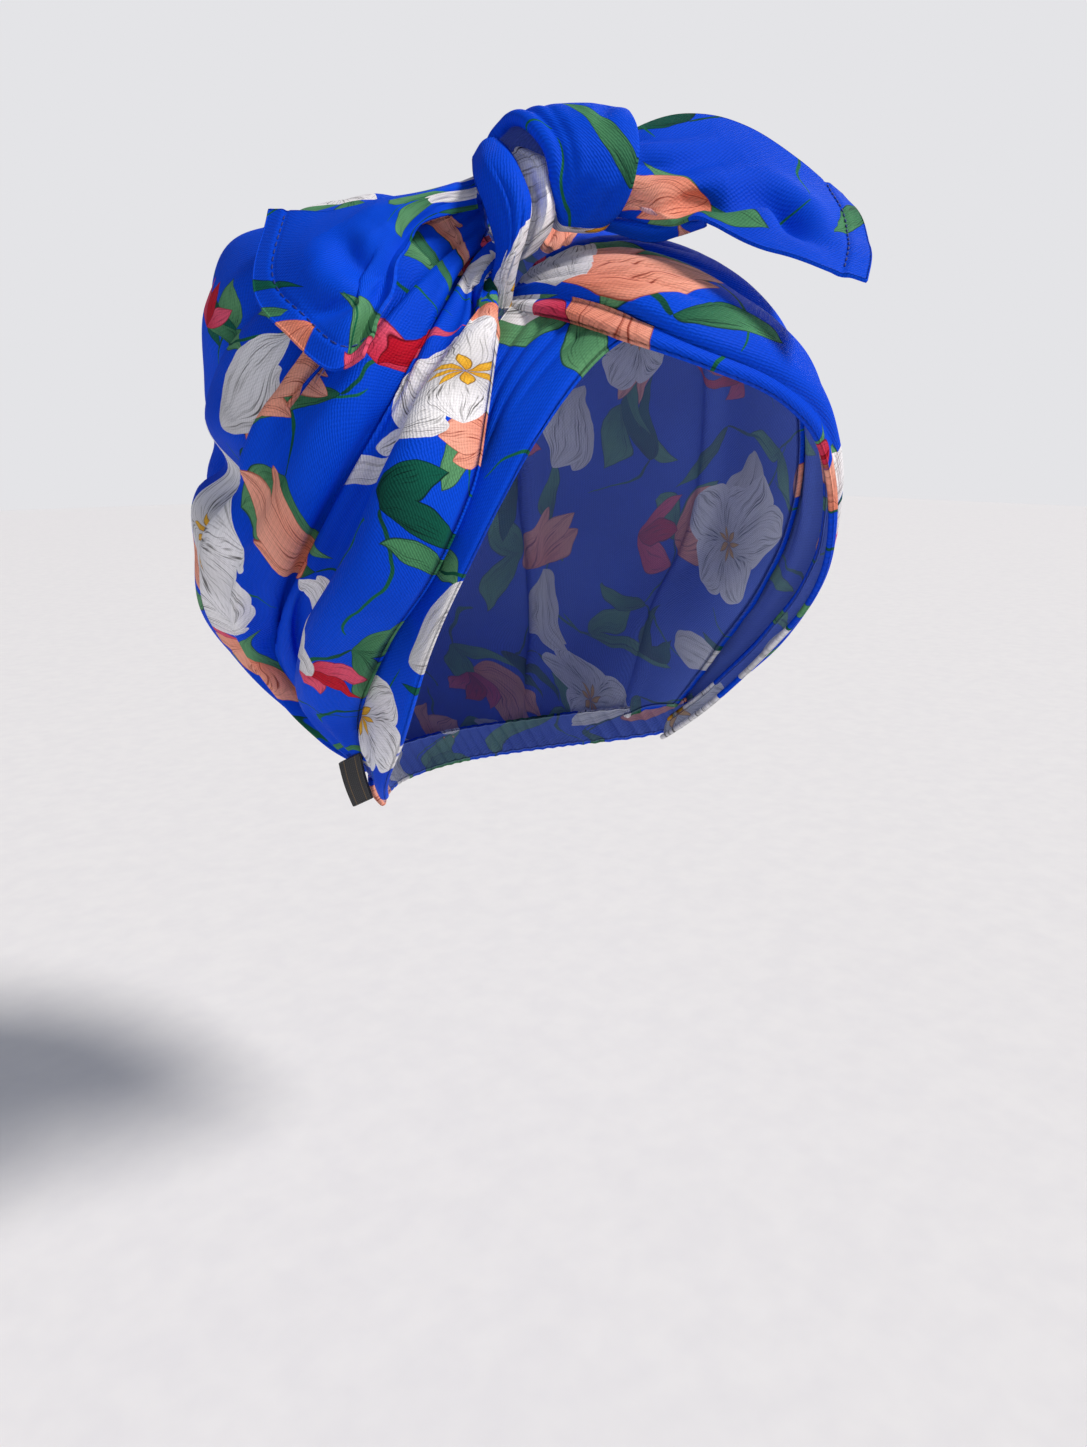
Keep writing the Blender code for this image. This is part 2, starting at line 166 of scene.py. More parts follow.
def press(grid, rows, columns, folds, inside=0.0, ring=False):
    """Presses folds into a grid: moves points in along the normal by depth times a bell or a cusp.

    A fold is (row at its start, row at its end, depth, half width, start, end, sharp). Its line runs
    along the columns from start to end. A soft fold is exp(-(d / w)^2), a sharp one exp(-|d| / w),
    where d is the distance across to the line.
    """
    across = arc(grid, 0)
    depth = np.zeros(grid.shape[:2])
    t = columns
    for first, last, deep, half, start, end, sharp in folds:
        line = first + (last - first) * np.clip((t - start) / (end - start), 0, 1)
        d = np.abs(across - across_at(across, rows, line)) / half
        bell = np.exp(-d) if sharp else np.exp(-d * d)
        fade = 0.35 * (end - start)
        reach = smooth(start - 0.02, start + fade, t) if start > 0.0 else np.ones_like(t)
        if end < 1.0:
            reach = reach * smooth(end + 0.02, end - fade, t)
        depth += deep * bell * reach[None, :]
    return grid - depth[..., None] * normals(soften(grid, 6, ring), inside, ring)


def dent(grid, rows, columns, dents, inside=0.0, ring=False):
    """Presses curved folds in, each along a smooth line through places of (row, column).

    The depth across a fold is exp(-d^2) - 0.15 exp(-(d - 2)^2), a valley between two low shoulders,
    with d the distance to the line over the half width. It falls off as a half sine to both ends.
    """
    depth = np.zeros(grid.shape[:2])
    for deep, half, places in dents:
        s = np.linspace(0, 1, 12 * len(places))
        path = blend(np.linspace(0, 1, len(places)), np.array(places, float), s)
        i = np.interp(path[:, 0], rows, np.arange(len(rows)))
        j = np.interp(path[:, 1], columns, np.arange(len(columns)))
        i0 = np.minimum(i.astype(int), len(rows) - 2)
        j0 = np.minimum(j.astype(int), len(columns) - 2)
        a = (i - i0)[:, None]
        b = (j - j0)[:, None]
        line = ((1 - a) * (1 - b) * grid[i0, j0] + a * (1 - b) * grid[i0 + 1, j0]
                + (1 - a) * b * grid[i0, j0 + 1] + a * b * grid[i0 + 1, j0 + 1])
        best = np.full(grid.shape[:2], 1e9)
        where = np.zeros(grid.shape[:2])
        for k in range(len(s) - 1):
            step = line[k + 1] - line[k]
            u = np.clip(np.sum((grid - line[k]) * step, -1) / max(step @ step, 1e-9), 0, 1)
            gap = np.linalg.norm(grid - line[k] - u[..., None] * step, axis=-1)
            closer = gap < best
            best = np.where(closer, gap, best)
            where = np.where(closer, s[k] + u * (s[1] - s[0]), where)
        d = best / half
        bell = np.exp(-d * d) - 0.15 * np.exp(-(d - 2.0) ** 2)
        depth += deep * bell * np.sin(np.pi * (0.03 + 0.94 * where))
    return grid - depth[..., None] * normals(soften(grid, 10, ring), inside, ring)


def overlap(grid, rows, columns, folds, inside=0.0):
    """Lays one side of a fold over the other, as an S in the section across it.

    A fold is (places of (column, row) along it, shift, lift, sink). Points before the line move over
    it by the shift, less with the distance d to it as exp(-(d / 7)^2), and rise by the lift, most at
    4 mm before it. Those after it are pressed in by the sink, most at 3.2 mm. All three fade out
    over the first and last tenth of the line.
    """
    t = columns
    for places, shift, lift, sink in folds:
        across = arc(grid, 0)
        path = np.array(places, float)
        line = blend(path[:, 0], path[:, 1], t)
        d = across - across_at(across, rows, line)
        fade = 0.1 * (path[-1, 0] - path[0, 0])
        reach = (smooth(path[0, 0] - 0.01, path[0, 0] + fade, t)
                 * smooth(path[-1, 0] + 0.01, path[-1, 0] - fade, t))
        along = unit(np.gradient(grid, axis=0))
        over = shift * np.where(d < 0, np.exp(-(d / 7.0) ** 2), np.exp(-(d / 1.3) ** 2)) * reach
        rise = lift * np.exp(-((d + 4.0) / 5.0) ** 2) - sink * np.exp(-((d - 3.2) / 3.4) ** 2)
        grid = grid + over[..., None] * along + (rise * reach)[..., None] * normals(grid, inside)
    return grid


def roll(grid, first, last, inside=0.0):
    """Rolls the first and last rows in: the drop is r - sqrt(r^2 - (r - d)^2) within r of the edge."""
    down = arc(grid, 0)
    drop = np.zeros(grid.shape[:2])
    for radius, d in ((first, down), (last, down[-1:] - down)):
        if radius > 0.0:
            away = np.clip(radius - d, 0.0, 0.98 * radius)
            drop += radius - np.sqrt(radius ** 2 - away ** 2)
    return grid - drop[..., None] * normals(grid, inside)


def wrinkle(grid, seed, high, wide, long, inside=0.0, ring=False):
    """Faint creasing: a sum of sine waves of random turn, about wide across and long along, in mm."""
    rng = np.random.default_rng(seed)
    a = arc(grid, 0)
    b = arc(grid, 1)
    lift = np.zeros(grid.shape[:2])
    for k in range(12):
        ka = rng.normal(0, 1) * 2 * np.pi / wide * 0.6
        kb = rng.normal(0, 1) * 2 * np.pi / long * 0.6
        lift += np.sin(ka * a + kb * b + rng.uniform(0, 2 * np.pi))
    edge = smooth(0, 4, b) if ring else 1.0
    return grid + (high * lift * edge / 4.0)[..., None] * normals(grid, inside, ring)


def print_place(grid, turn, shift, gathered=0.55, ring=False):
    """Place on the printed cloth in mm: distance across and along, turned and shifted.

    Where the cloth is gathered its width on the print stays above a share of the widest width.
    """
    if ring:
        grid = np.concatenate([grid, grid[:1]])
    a = arc(grid, 0)
    b = arc(grid, 1)
    wide = a[-1]
    keep = gathered + (1 - gathered) * wide / wide.max()
    a = (a - a[-1] * 0.5) * (wide.max() * keep / np.maximum(wide, 1.0))[None, :]
    b = b.mean(0, keepdims=True) * 0.6 + b * 0.4
    c = np.cos(np.radians(turn))
    s = np.sin(np.radians(turn))
    return np.stack([a * c - b * s + shift[0], a * s + b * c + shift[1]], -1)


def underside(grid, wall, inside, ring, times):
    """Inner face of a sheet: the evened outer face, moved in by the wall and by how far folds dip.

    Each dip is spread to its neighbours, twice as far across the folds as along them.
    """
    base = soften(grid, times, ring)
    way = normals(base, inside, ring)
    dip = np.maximum(np.sum((base - grid) * way, -1), 0.0)
    for step in range(2 * times // 5):
        for axis in ((0, 1) if step < times // 5 else (0,)):
            dip = np.maximum.reduce(neighbours(dip, axis, ring, mode="edge"))
    dip = np.maximum(soften(dip, times // 3, ring), 0.0)
    return base - (wall + dip)[..., None] * way


def inside_out(verts, faces):
    """Whether triangles or quads are turned in: the volume between them and the origin is negative."""
    last = faces.shape[1] - 1
    tri = np.concatenate([faces[:, [0, k, k + 1]] for k in range(1, last)])
    p, q, r = (verts[tri[:, c]] for c in range(3))
    return np.sum(p * np.cross(q, r)) < 0


def mesh_piece(name, verts, faces, material):
    """A smooth mesh object at the origin, from points in millimetres."""
    mesh = bpy.data.meshes.new(name)
    mesh.from_pydata((verts * METRE).tolist(), [], faces.tolist())
    mesh.polygons.foreach_set("use_smooth", [True] * len(mesh.polygons))
    mesh.materials.append(material)
    piece = bpy.data.objects.new(name, mesh)
    bpy.context.scene.collection.objects.link(piece)
    return piece


def cloth(name, grid, wall, place, material, inside=0.0, ring=False, rim=3, even_out=10):
    """A closed sheet of cloth with rounded edges from its outer face.

    The inner face follows the outer one without its small folds. Each rim ring lies on a half circle
    between the two faces. The print follows as a UV map, and the attribute reverse is 0 on the face
    of the cloth and on its edges, and 1 on its back.
    """
    n, m = grid.shape[:2]
    face = grid.reshape(-1, 3)
    back = underside(grid, np.broadcast_to(wall, (n, m)), inside, ring, even_out).reshape(-1, 3)
    ids = np.arange(n * m).reshape(n, m)
    if ring:
        ids = np.concatenate([ids, ids[:1]])
        loops = [ids[:, 0], ids[:, -1]]
        spots = [place[:, 0], place[:, -1]]
        inner = [ids[:, 1], ids[:, -2]]
    else:
        i = np.concatenate([np.zeros(m - 1), np.arange(n - 1), np.full(m - 1, n - 1),
                            np.arange(n - 1, 0, -1), [0]]).astype(int)
        j = np.concatenate([np.arange(m - 1), np.full(n - 1, m - 1), np.arange(m - 1, 0, -1),
                            np.zeros(n - 1), [0]]).astype(int)
        loops = [ids[i, j]]
        spots = [place[i, j]]
        inner = [ids[np.clip(i, 1, n - 2), np.clip(j, 1, m - 2)]]
    points = [face, back]
    side = [np.zeros(n * m), np.ones(n * m)]
    quads = []
    quad_uv = []

    def skin(a, b, uv_a, uv_b, turned):
        """Quads between two lines of points, with their places on the print."""
        corners = [a[:-1], b[:-1], b[1:], a[1:]]
        places = [uv_a[:-1], uv_b[:-1], uv_b[1:], uv_a[1:]]
        if turned:
            corners = corners[::-1]
            places = places[::-1]
        quads.append(np.stack(corners, -1))
        quad_uv.append(np.stack(places, -2))

    for r in range(ids.shape[0] - 1):
        skin(ids[r], ids[r + 1], place[r], place[r + 1], False)
        skin(ids[r] + n * m, ids[r + 1] + n * m, place[r], place[r + 1], True)
    total = 2 * n * m
    for k, (loop, spot, near) in enumerate(zip(loops, spots, inner)):
        p = face[loop]
        normal = 0.5 * (p - back[loop])
        half = np.maximum(np.linalg.norm(normal, axis=-1, keepdims=True), 1e-6)
        normal = normal / half
        away = p - face[near]
        away = unit(away - np.sum(away * normal, -1, keepdims=True) * normal)
        before = loop
        once = len(loop) - 1
        for step in range(1, rim + 1):
            w = np.pi * step / (rim + 1)
            ring_points = p - half * normal + half * (np.cos(w) * normal + np.sin(w) * away)
            points.append(ring_points[:-1])
            side.append(np.zeros(once))
            after = np.append(np.arange(once), 0) + total
            total += once
            skin(before, after, spot, spot, bool(k))
            before = after
        skin(before, loop + n * m, spot, spot, bool(k))
    faces = np.concatenate(quads)
    corner_uv = np.concatenate(quad_uv)
    verts = np.concatenate(points)
    if inside_out(verts, faces):
        faces = faces[:, ::-1]
        corner_uv = corner_uv[:, ::-1]
    piece = mesh_piece(name, verts, faces, material)
    layer = piece.data.uv_layers.new(name="print")
    layer.data.foreach_set("uv", (corner_uv * METRE).astype(np.float32).ravel())
    reverse = piece.data.attributes.new("reverse", "FLOAT", "POINT")
    reverse.data.foreach_set("value", np.concatenate(side).astype(np.float32))
    return piece


def linear(colour):
    """Linear RGBA of an sRGB hex colour."""
    parts = [int(colour[k:k + 2], 16) / 255.0 for k in (1, 3, 5)]
    return tuple(c / 12.92 if c <= 0.04045 else ((c + 0.055) / 1.055) ** 2.4 for c in parts) + (1.0,)


def put(tree, kind, inputs, operation=None, out=0, **settings):
    """Adds a node with its operation and settings, sets or links its inputs, and gives an output."""
    node = tree.nodes.new("ShaderNode" + kind)
    if operation:
        node.operation = operation
    for key, value in settings.items():
        setattr(node, key, value)
    pairs = inputs.items() if isinstance(inputs, dict) else enumerate(inputs)
    for slot, value in pairs:
        if isinstance(value, bpy.types.NodeSocket):
            tree.links.new(value, node.inputs[slot])
        elif value is not None:
            node.inputs[slot].default_value = value
    return node.outputs[out] if node.outputs else node


def blank(name):
    """A new material and its empty node tree."""
    material = bpy.data.materials.new(name)
    material.use_nodes = True
    material.node_tree.nodes.clear()
    return material, material.node_tree


def motif_cell(tree, place, size, turn, number):
    """Place in mm from the middle of the motif in this square cell.

    The cloth is laid out in cells of one size. Each cell moves its motif by up to a tenth of the
    cell and turns it by a random angle.
    """
    scaled = put(tree, "Mapping", [place, (number * 17.3, number * 9.7, 0), (0, 0, turn),
                                   (1.0 / size, 1.0 / size, 1.0)])
    cell = put(tree, "VectorMath", [scaled], "FLOOR")
    chance = put(tree, "TexWhiteNoise", [cell], out=1, noise_dimensions="3D")
    moved = put(tree, "VectorMath", [chance, (0.24, 0.24, 0.0), (0.38, 0.38, 0.0)], "MULTIPLY_ADD")
    local = put(tree, "VectorMath", [scaled, cell], "SUBTRACT")
    local = put(tree, "VectorMath", [local, moved], "SUBTRACT")
    local = put(tree, "VectorMath", {0: local, 3: size}, "SCALE")
    first = put(tree, "SeparateXYZ", [chance])
    angle = put(tree, "Math", [first, 2 * np.pi], "MULTIPLY")
    return put(tree, "VectorRotate", {0: local, 3: angle}, rotation_type="Z_AXIS")


def petal(tree, local, long, half, lean, bend, blunt=1.0):
    """Petal or leaf along x: |y - bend t^2| < half sin(pi t^lean)^blunt, with t = x / long.

    Gives its mask, how far across it the point is (-1 to 1), how far along, and the distance in from
    its edge in mm.
    """
    x, y = (put(tree, "SeparateXYZ", [local], out=k) for k in (0, 1))
    t = put(tree, "Math", [x, long], "DIVIDE", use_clamp=True)
    swell = put(tree, "Math", [t, lean], "POWER")
    swell = put(tree, "Math", [swell, np.pi], "MULTIPLY")
    swell = put(tree, "Math", [swell], "SINE", use_clamp=True)
    for kind, value in (("POWER", blunt), ("MULTIPLY", half)):
        swell = put(tree, "Math", [swell, value], kind)
    squared = put(tree, "Math", [t, 2.0], "POWER")
    off = put(tree, "Math", [squared, -bend, y], "MULTIPLY_ADD")
    size = put(tree, "Math", [off], "ABSOLUTE")
    edge = put(tree, "Math", [swell, size], "SUBTRACT")
    mask = put(tree, "Math", [edge, 5.0], "MULTIPLY", use_clamp=True)
    wide = put(tree, "Math", [swell, 0.2], "MAXIMUM")
    across = put(tree, "Math", [off, wide], "DIVIDE")
    return mask, across, t, edge


def fan(tree, local, spread):
    """The same place as seen from the two outer petals of a fan, which mirror each other."""
    x, y = (put(tree, "SeparateXYZ", [local], out=k) for k in (0, 1))
    y = put(tree, "Math", [y], "ABSOLUTE")
    folded = put(tree, "CombineXYZ", [x, y, 0.0])
    return put(tree, "VectorRotate", {0: folded, 3: -spread}, rotation_type="Z_AXIS")


def wheel(tree, local, petals):
    """The same place turned into the sector of one petal of a round flower."""
    x, y = (put(tree, "SeparateXYZ", [local], out=k) for k in (0, 1))
    angle = put(tree, "Math", [y, x], "ARCTAN2")
    angle = put(tree, "Math", [angle, np.pi / petals, -np.pi / petals], "WRAP")
    radius = put(tree, "VectorMath", [local], out=1, operation="LENGTH")
    turned = [put(tree, "Math", [angle], kind) for kind in ("COSINE", "SINE")]
    x, y = (put(tree, "Math", [share, radius], "MULTIPLY") for share in turned)
    return put(tree, "CombineXYZ", [x, y, 0.0])


def pencil(tree, below, shape, strokes, lot, ink, share):
    """Pencil strokes: noise drawn out along the petal, cut at a level, and bunched by a wider one.

    shape is the distance across the petal and along it.
    """
    line = share
    for paces, place, noise, levels in (
            ((strokes, 1.7), lot, {"Scale": 1.0, "Detail": 2.0, "Roughness": 0.7}, (0.51, 0.63, 0.0)),
            ((1.3, 1.1), lot + 5.0, {"Scale": 1.2, "Detail": 0.0}, (0.40, 0.60, 0.25))):
        x, y = (put(tree, "Math", [way, pace], "MULTIPLY") for way, pace in zip(shape, paces))
        spot = put(tree, "CombineXYZ", [x, y, place])
        level = put(tree, "TexNoise", {"Vector": spot, **noise})
        level = put(tree, "MapRange", [level, *levels, 1.0])
        line = put(tree, "Math", [level, line], "MULTIPLY")
    return put(tree, "Mix", {0: line, 6: below, 7: linear(ink)}, out=2, data_type="RGBA")


def drawn(tree, below, shape, base, deep, ink, strokes, lot, outline, share=1.0):
    """Draws a petal or leaf over what lies below it.

    The fill goes from base to deep toward the root, with pencil strokes along it, and outline is the
    width of its ink line in mm.
    """
    mask, across, t, edge = shape
    root = put(tree, "MapRange", [t, 0.0, 0.65, 1.0, 0.0])
    fill = put(tree, "Mix", {0: root, 6: linear(base), 7: linear(deep)}, out=2, data_type="RGBA")
    fill = pencil(tree, fill, (across, t), strokes, lot, ink, share)
    if outline > 0.0:
        rim = put(tree, "MapRange", [edge, outline, outline + 0.25, 0.85, 0.0])
        fill = put(tree, "Mix", {0: rim, 6: fill, 7: linear(ink)}, out=2, data_type="RGBA")
    return put(tree, "Mix", {0: mask, 6: below, 7: fill}, out=2, data_type="RGBA")


# Leaves of the print, one row each: cell, turn, number, long, half width, spread, bend, three colours
LEAVES = [
    (71.0, 0.5, 1, 31.0, 6.2, 0.60, 6.0, "#5F9A6C", "#35724F", "#12382A"),
    (83.0, 1.3, 2, 30.0, 4.6, 0.42, -5.0, "#0F5C4A", "#0A4238", "#04211E"),
    (67.0, 0.9, 7, 32.0, 5.0, 0.0, 8.0, "#4B8A5F", "#1C5A44", "#0C2E26"),
]
# Petals of the print, one row each, from the back to the front. Rows of one cell and number make one
# flower. Its kind is a fan of two, a middle petal or a wheel of five or seven.
PETALS = [
    # cell, turn, number, kind, spread, long, half, lean, bend, blunt, base, deep, ink, strokes, line, share
    (86.0, 0.2, 3, "fan", 0.60, 31.0, 6.6, 1.0, -8.0, 0.8, "#F4A68E", "#E88468", "#8E3020", 7.0, .22, .9),
    (86.0, 0.2, 3, "middle", 0.0, 36.0, 6.8, 1.25, 3.0, 0.8, "#F6AD96", "#EC8C72", "#8E3020", 7.0, .24, .9),
    (97.0, 0.9, 4, "fan", 0.62, 24.0, 4.6, 0.85, -3.5, 1.0, "#E85A78", "#CC2444", "#62061A", 7.0, .22, .8),
    (97.0, 0.9, 4, "middle", 0.0, 27.0, 4.2, 0.95, 2.0, 1.0, "#CE1830", "#AE0A22", "#4C0410", 7.0, .22, .8),
    (89.0, 1.1, 5, "fan", 0.42, 33.0, 7.0, 1.3, -8.0, 0.7, "#ECEAEE", "#D2D0D2", "#3E3C3A", 9.0, .0, .9),
    (89.0, 1.1, 5, "middle", 0.0, 38.0, 9.0, 1.45, 3.0, 0.65, "#F4F3F6", "#DAD8DA", "#363432", 11.0, .0, .9),
    (127.0, 0.35, 6, "wheel", 5, 28.0, 13.0, 1.5, 0.0, 0.7, "#F3F2F6", "#C9C7C9", "#363432", 12.0, .0, .95),
    (127.0, 0.35, 6, "wheel", 7, 9.0, 1.4, 1.0, 0.0, 1.0, "#F0B83A", "#C98C20", "#5E3A0C", 4.0, .2, .6),
]


def printed_crepe(name, ground, flowers=True):
    """Polyester crepe with a large flower print, soft and a little glossy.

    The yarns are 0.9 mm apart here, coarser than the real 0.3 mm, so that they show. The print is
    white and coral blooms, red buds and green leaves, all drawn with pencil strokes. Without
    flowers it is the inside of one large pale bloom.
    """
    material, tree = blank(name)
    uv = put(tree, "UVMap", [], uv_map="print")
    mm = put(tree, "VectorMath", {0: uv, 3: 1000.0}, "SCALE")
    u, v = (put(tree, "SeparateXYZ", [mm], out=k) for k in (0, 1))
    # Two waves of noise bend the drawing: a wide one by 14 mm, and one at its edges by 1 mm
    place = mm
    for scale, reach in ((0.022, 36.0), (0.11, 2.6)):
        sway = put(tree, "TexNoise", {"Vector": mm, "Scale": scale, "Detail": 0.5}, out=1,
                   noise_dimensions="2D")
        sway = put(tree, "VectorMath", [sway, (reach, reach, 0.0), (-reach / 2, -reach / 2, 0.0)],
                   "MULTIPLY_ADD")
        place = put(tree, "VectorMath", [place, sway], "ADD")
    grain = put(tree, "TexNoise", {"Vector": mm, "Scale": 0.7, "Detail": 2.0, "Roughness": 0.6},
                noise_dimensions="2D")
    cloud = put(tree, "TexNoise", {"Vector": mm, "Scale": 0.02, "Detail": 1.0}, noise_dimensions="2D")
    tone = put(tree, "MapRange", [cloud, 0.35, 0.65, 0.0, 1.0])
    colour = put(tree, "Mix", {0: tone, 6: linear(ground[0]), 7: linear(ground[1])}, out=2,
                 data_type="RGBA")
    if flowers:
        for size, turn, number, long, half, spread, bend, base, deep, ink in LEAVES:
            local = motif_cell(tree, place, size, turn, number)
            behind = put(tree, "VectorRotate", {0: local, 3: 2.6}, rotation_type="Z_AXIS")
            stem = petal(tree, behind, 34.0, 0.75, 0.6, 9.0, 0.3)
            colour = drawn(tree, colour, stem, "#1C6A4A", "#0F4438", "#0A2E26", 1.0, number, 0.0, 0.3)
            if spread:
                local = fan(tree, local, spread)
            shape = petal(tree, local, long, half, 0.82, bend)
            colour = drawn(tree, colour, shape, base, deep, ink, 8.0, number, 0.28, 0.9)
        for (size, turn, number, kind, spread, long, half, lean, bend, blunt, base, deep, ink,
                strokes, outline, share) in PETALS:
            local = motif_cell(tree, place, size, turn, number)
            if kind == "fan":
                local = fan(tree, local, spread)
            if kind == "wheel":
                local = wheel(tree, local, spread)
            shape = petal(tree, local, long, half, lean, bend, blunt)
            colour = drawn(tree, colour, shape, base, deep, ink, strokes, number, outline, share)
    else:
        across = put(tree, "Math", [u, 0.5], "MULTIPLY")
        along = put(tree, "Math", [v, 0.02], "MULTIPLY")
        colour = pencil(tree, colour, (across, along), 1.6, 3.0, "#363432", 0.95)
    # Back of the cloth: the print shows through, paler
    back = put(tree, "Attribute", [], out=2, attribute_name="reverse")
    back = put(tree, "Math", [back, 0.40], "MULTIPLY")
    colour = put(tree, "Mix", {0: back, 6: colour, 7: linear("#8FA3CC")}, out=2, data_type="RGBA")
    # Weave: ribs of yarn, with a painted highlight on the crown of each and painted shade between them
    twill = put(tree, "Math", [u, 0.5, v], "MULTIPLY_ADD")
    twill = put(tree, "Math", [twill, 6.98], "MULTIPLY")
    twill = put(tree, "Math", [grain, 5.0, twill], "MULTIPLY_ADD")
    twill = put(tree, "Math", [twill], "SINE")
    weft = put(tree, "Math", [u, 5.2], "MULTIPLY")
    weft = put(tree, "Math", [weft], "SINE")
    weave = put(tree, "Math", [weft, 0.45, twill], "MULTIPLY_ADD")
    # Painted highlight and shade of the yarn crowns, scaling the print's colour
    light = put(tree, "MapRange", [weave, -1.4, 1.4, 0.88, 1.08])
    colour = put(tree, "VectorMath", {0: colour, 3: light}, "SCALE")
    height = put(tree, "Math", [grain, 1.5, weave], "MULTIPLY_ADD")
    bump = put(tree, "Bump", {"Strength": 0.35, "Distance": 0.00018, "Height": height})
    shader = put(tree, "BsdfPrincipled", {
        "Base Color": colour, "Roughness": 0.66, "IOR": 1.5, "Normal": bump,
        "Sheen Weight": 0.01, "Sheen Roughness": 0.4, "Sheen Tint": linear("#7FA0FF"),
        "Specular IOR Level": 0.07})
    put(tree, "OutputMaterial", [shader])
    return material


crepe = printed_crepe("crepe_printed_blue", ("#0044D4", "#024CE0"))

CROWN_ACROSS = [0, .05, .10, .17, .23, .29, .34, .41, .50, .60, .71, .82, .91, .965, 1]
CROWN_ALONG = [0, .12, .27, .42, .57, .72, .87, 1]
CROWN = [
    [(70, 62, 9), (64, 53, 9), (61.5, 40, 9), (62.5, 28, 9), (70, 13, 9), (82, 0, 9),
     (97, -14, 9), (112, -27, 7)],  # right lip
    [(71.5, 63, 12), (69.5, 53, 16), (69, 41, 20.5), (70.5, 29, 23), (78, 14, 23.5),
     (91, 1, 23.5), (107, -14, 20), (118, -31, 7)],  # first soft fold
    [(73, 64, 15.5), (74, 52, 14), (75.3, 39, 15.5), (80, 27.6, 16.5), (90.5, 14.6, 15.5),
     (104, 2, 15), (117, -12, 12), (124, -34, 7)],  # long hard crease
    [(75, 65, 20), (79, 56, 24), (81, 42, 30), (85, 30, 33), (94.5, 16, 34), (108, 3, 35),
     (120, -11, 28), (127, -35.5, 7)],  # broad fold
    [(78, 66.5, 24), (83, 58, 25), (86, 44, 30), (89.5, 32.5, 33), (98, 17.5, 33.5),
     (112, 4, 35), (124, -10, 29), (130, -36, 7)],  # soft valley
    [(81, 68, 26), (85, 58, 31), (87, 44, 36), (91.5, 32, 39.5), (101, 18.5, 41),
     (116, 6.5, 43), (127, -8, 36), (133, -36, 7)],  # fold
    [(85, 69.5, 27), (88, 57, 33), (89, 43, 37), (94, 30, 40), (105, 19.3, 41),
     (120, 9, 44.5), (130, -6, 40), (136, -36, 7)],  # valley
    [(92, 71.5, 26), (95, 60, 38), (98, 47, 46), (107, 35, 49), (119, 24, 47),
     (131, 12, 50), (135, -5, 46), (139, -36, 7)],  # fold at the back right
    [(105, 73, 21), (113, 63, 36), (122, 54, 53), (133, 44, 67), (138, 30, 52),
     (143, 14, 50), (146, -4, 44), (148, -36, 7)],  # shoulder
    [(112, 76, 14), (140, 68, 33), (150, 54, 55), (157, 40, 61), (161, 25, 52),
     (164, 10, 49), (166, -8, 42), (164, -36, 7)],  # back
    [(100, 79, 9), (180, 76, 24), (188, 58, 44), (190, 42, 49), (191, 25, 45),
     (192, 8, 42), (192, -12, 35), (188, -36, 7)],
    [(75, 79.5, 4), (240, 80, 16), (232, 66, 31), (229, 46, 34), (226, 27, 32),
     (224, 8, 29), (221, -13, 24), (212, -36, 7)],
    [(60, 78.5, 2.8), (-60, 83, 6), (-86, 71, 13), (-97, 52, 17), (-104, 32, 17),
     (-111, 12, 15), (-122, -10, 12), (-128, -35, 7)],
    [(54, 77.5, 2.8), (0, 80, 3), (-32, 72.5, 3.4), (-59, 60.5, 3.4), (-78, 34, 3.4),
     (-93, 10, 3.4), (-108, -11, 3.4), (-119, -32, 3.4)],  # edge of the upper band
    [(48, 76, 2.8), (8, 73, 2.8), (-14, 63, 2.8), (-40, 53, 2.8), (-60, 36, 2.8),
     (-79, 13, 2.8), (-98, -12, 2.8), (-112, -31, 2.8)],  # left edge, under the band
]
# Folds of the crown: row at the knot, row at the nape, depth, half width, start, end, sharp
CROWN_FOLDS = [
    (.050, .050, -2.6, 9.0, 0.10, .90, False),
    (.155, .150, -1.6, 8.0, 0.20, .75, False),
    (.230, .220, -2.6, 9.0, 0.15, .90, False),
    (.190, .180, 2.2, 6.0, 0.25, .70, False),
    (.420, .455, 3.4, 6.0, 0.25, .80, False),
    (.545, .560, 3.6, 9.0, 0.20, .85, False),
    (.650, .640, 3.4, 9.0, 0.15, .90, False),
    (.850, .860, 2.6, 8.0, 0.10, .90, False),
]
# Overlaps: places of (column, row) along the fold, shift, lift, sink
CROWN_OVERLAPS = [
    ([(-.06, .100), (.17, .112), (.40, .115), (.60, .117), (.71, .118), (.81, .126), (.95, .120)],
     4.4, 2.0, 5.6),  # long crease behind the lip
    ([(.05, .275), (.26, .276), (.38, .284), (.50, .318), (.60, .292), (.75, .272), (.95, .262)],
     3.2, 1.8, 4.8),  # front of the back right lobe
    ([(.42, .466), (.60, .472), (.96, .480)], 3.0, 1.2, 4.0),
    ([(.10, .575), (.50, .585), (.97, .600)], 3.6, 1.4, 4.4),
    ([(.05, .740), (.50, .755), (.97, .770)], 3.8, 1.4, 4.4),
    ([(.10, .885), (.50, .892), (.90, .900)], 2.4, 1.0, 2.4),
]
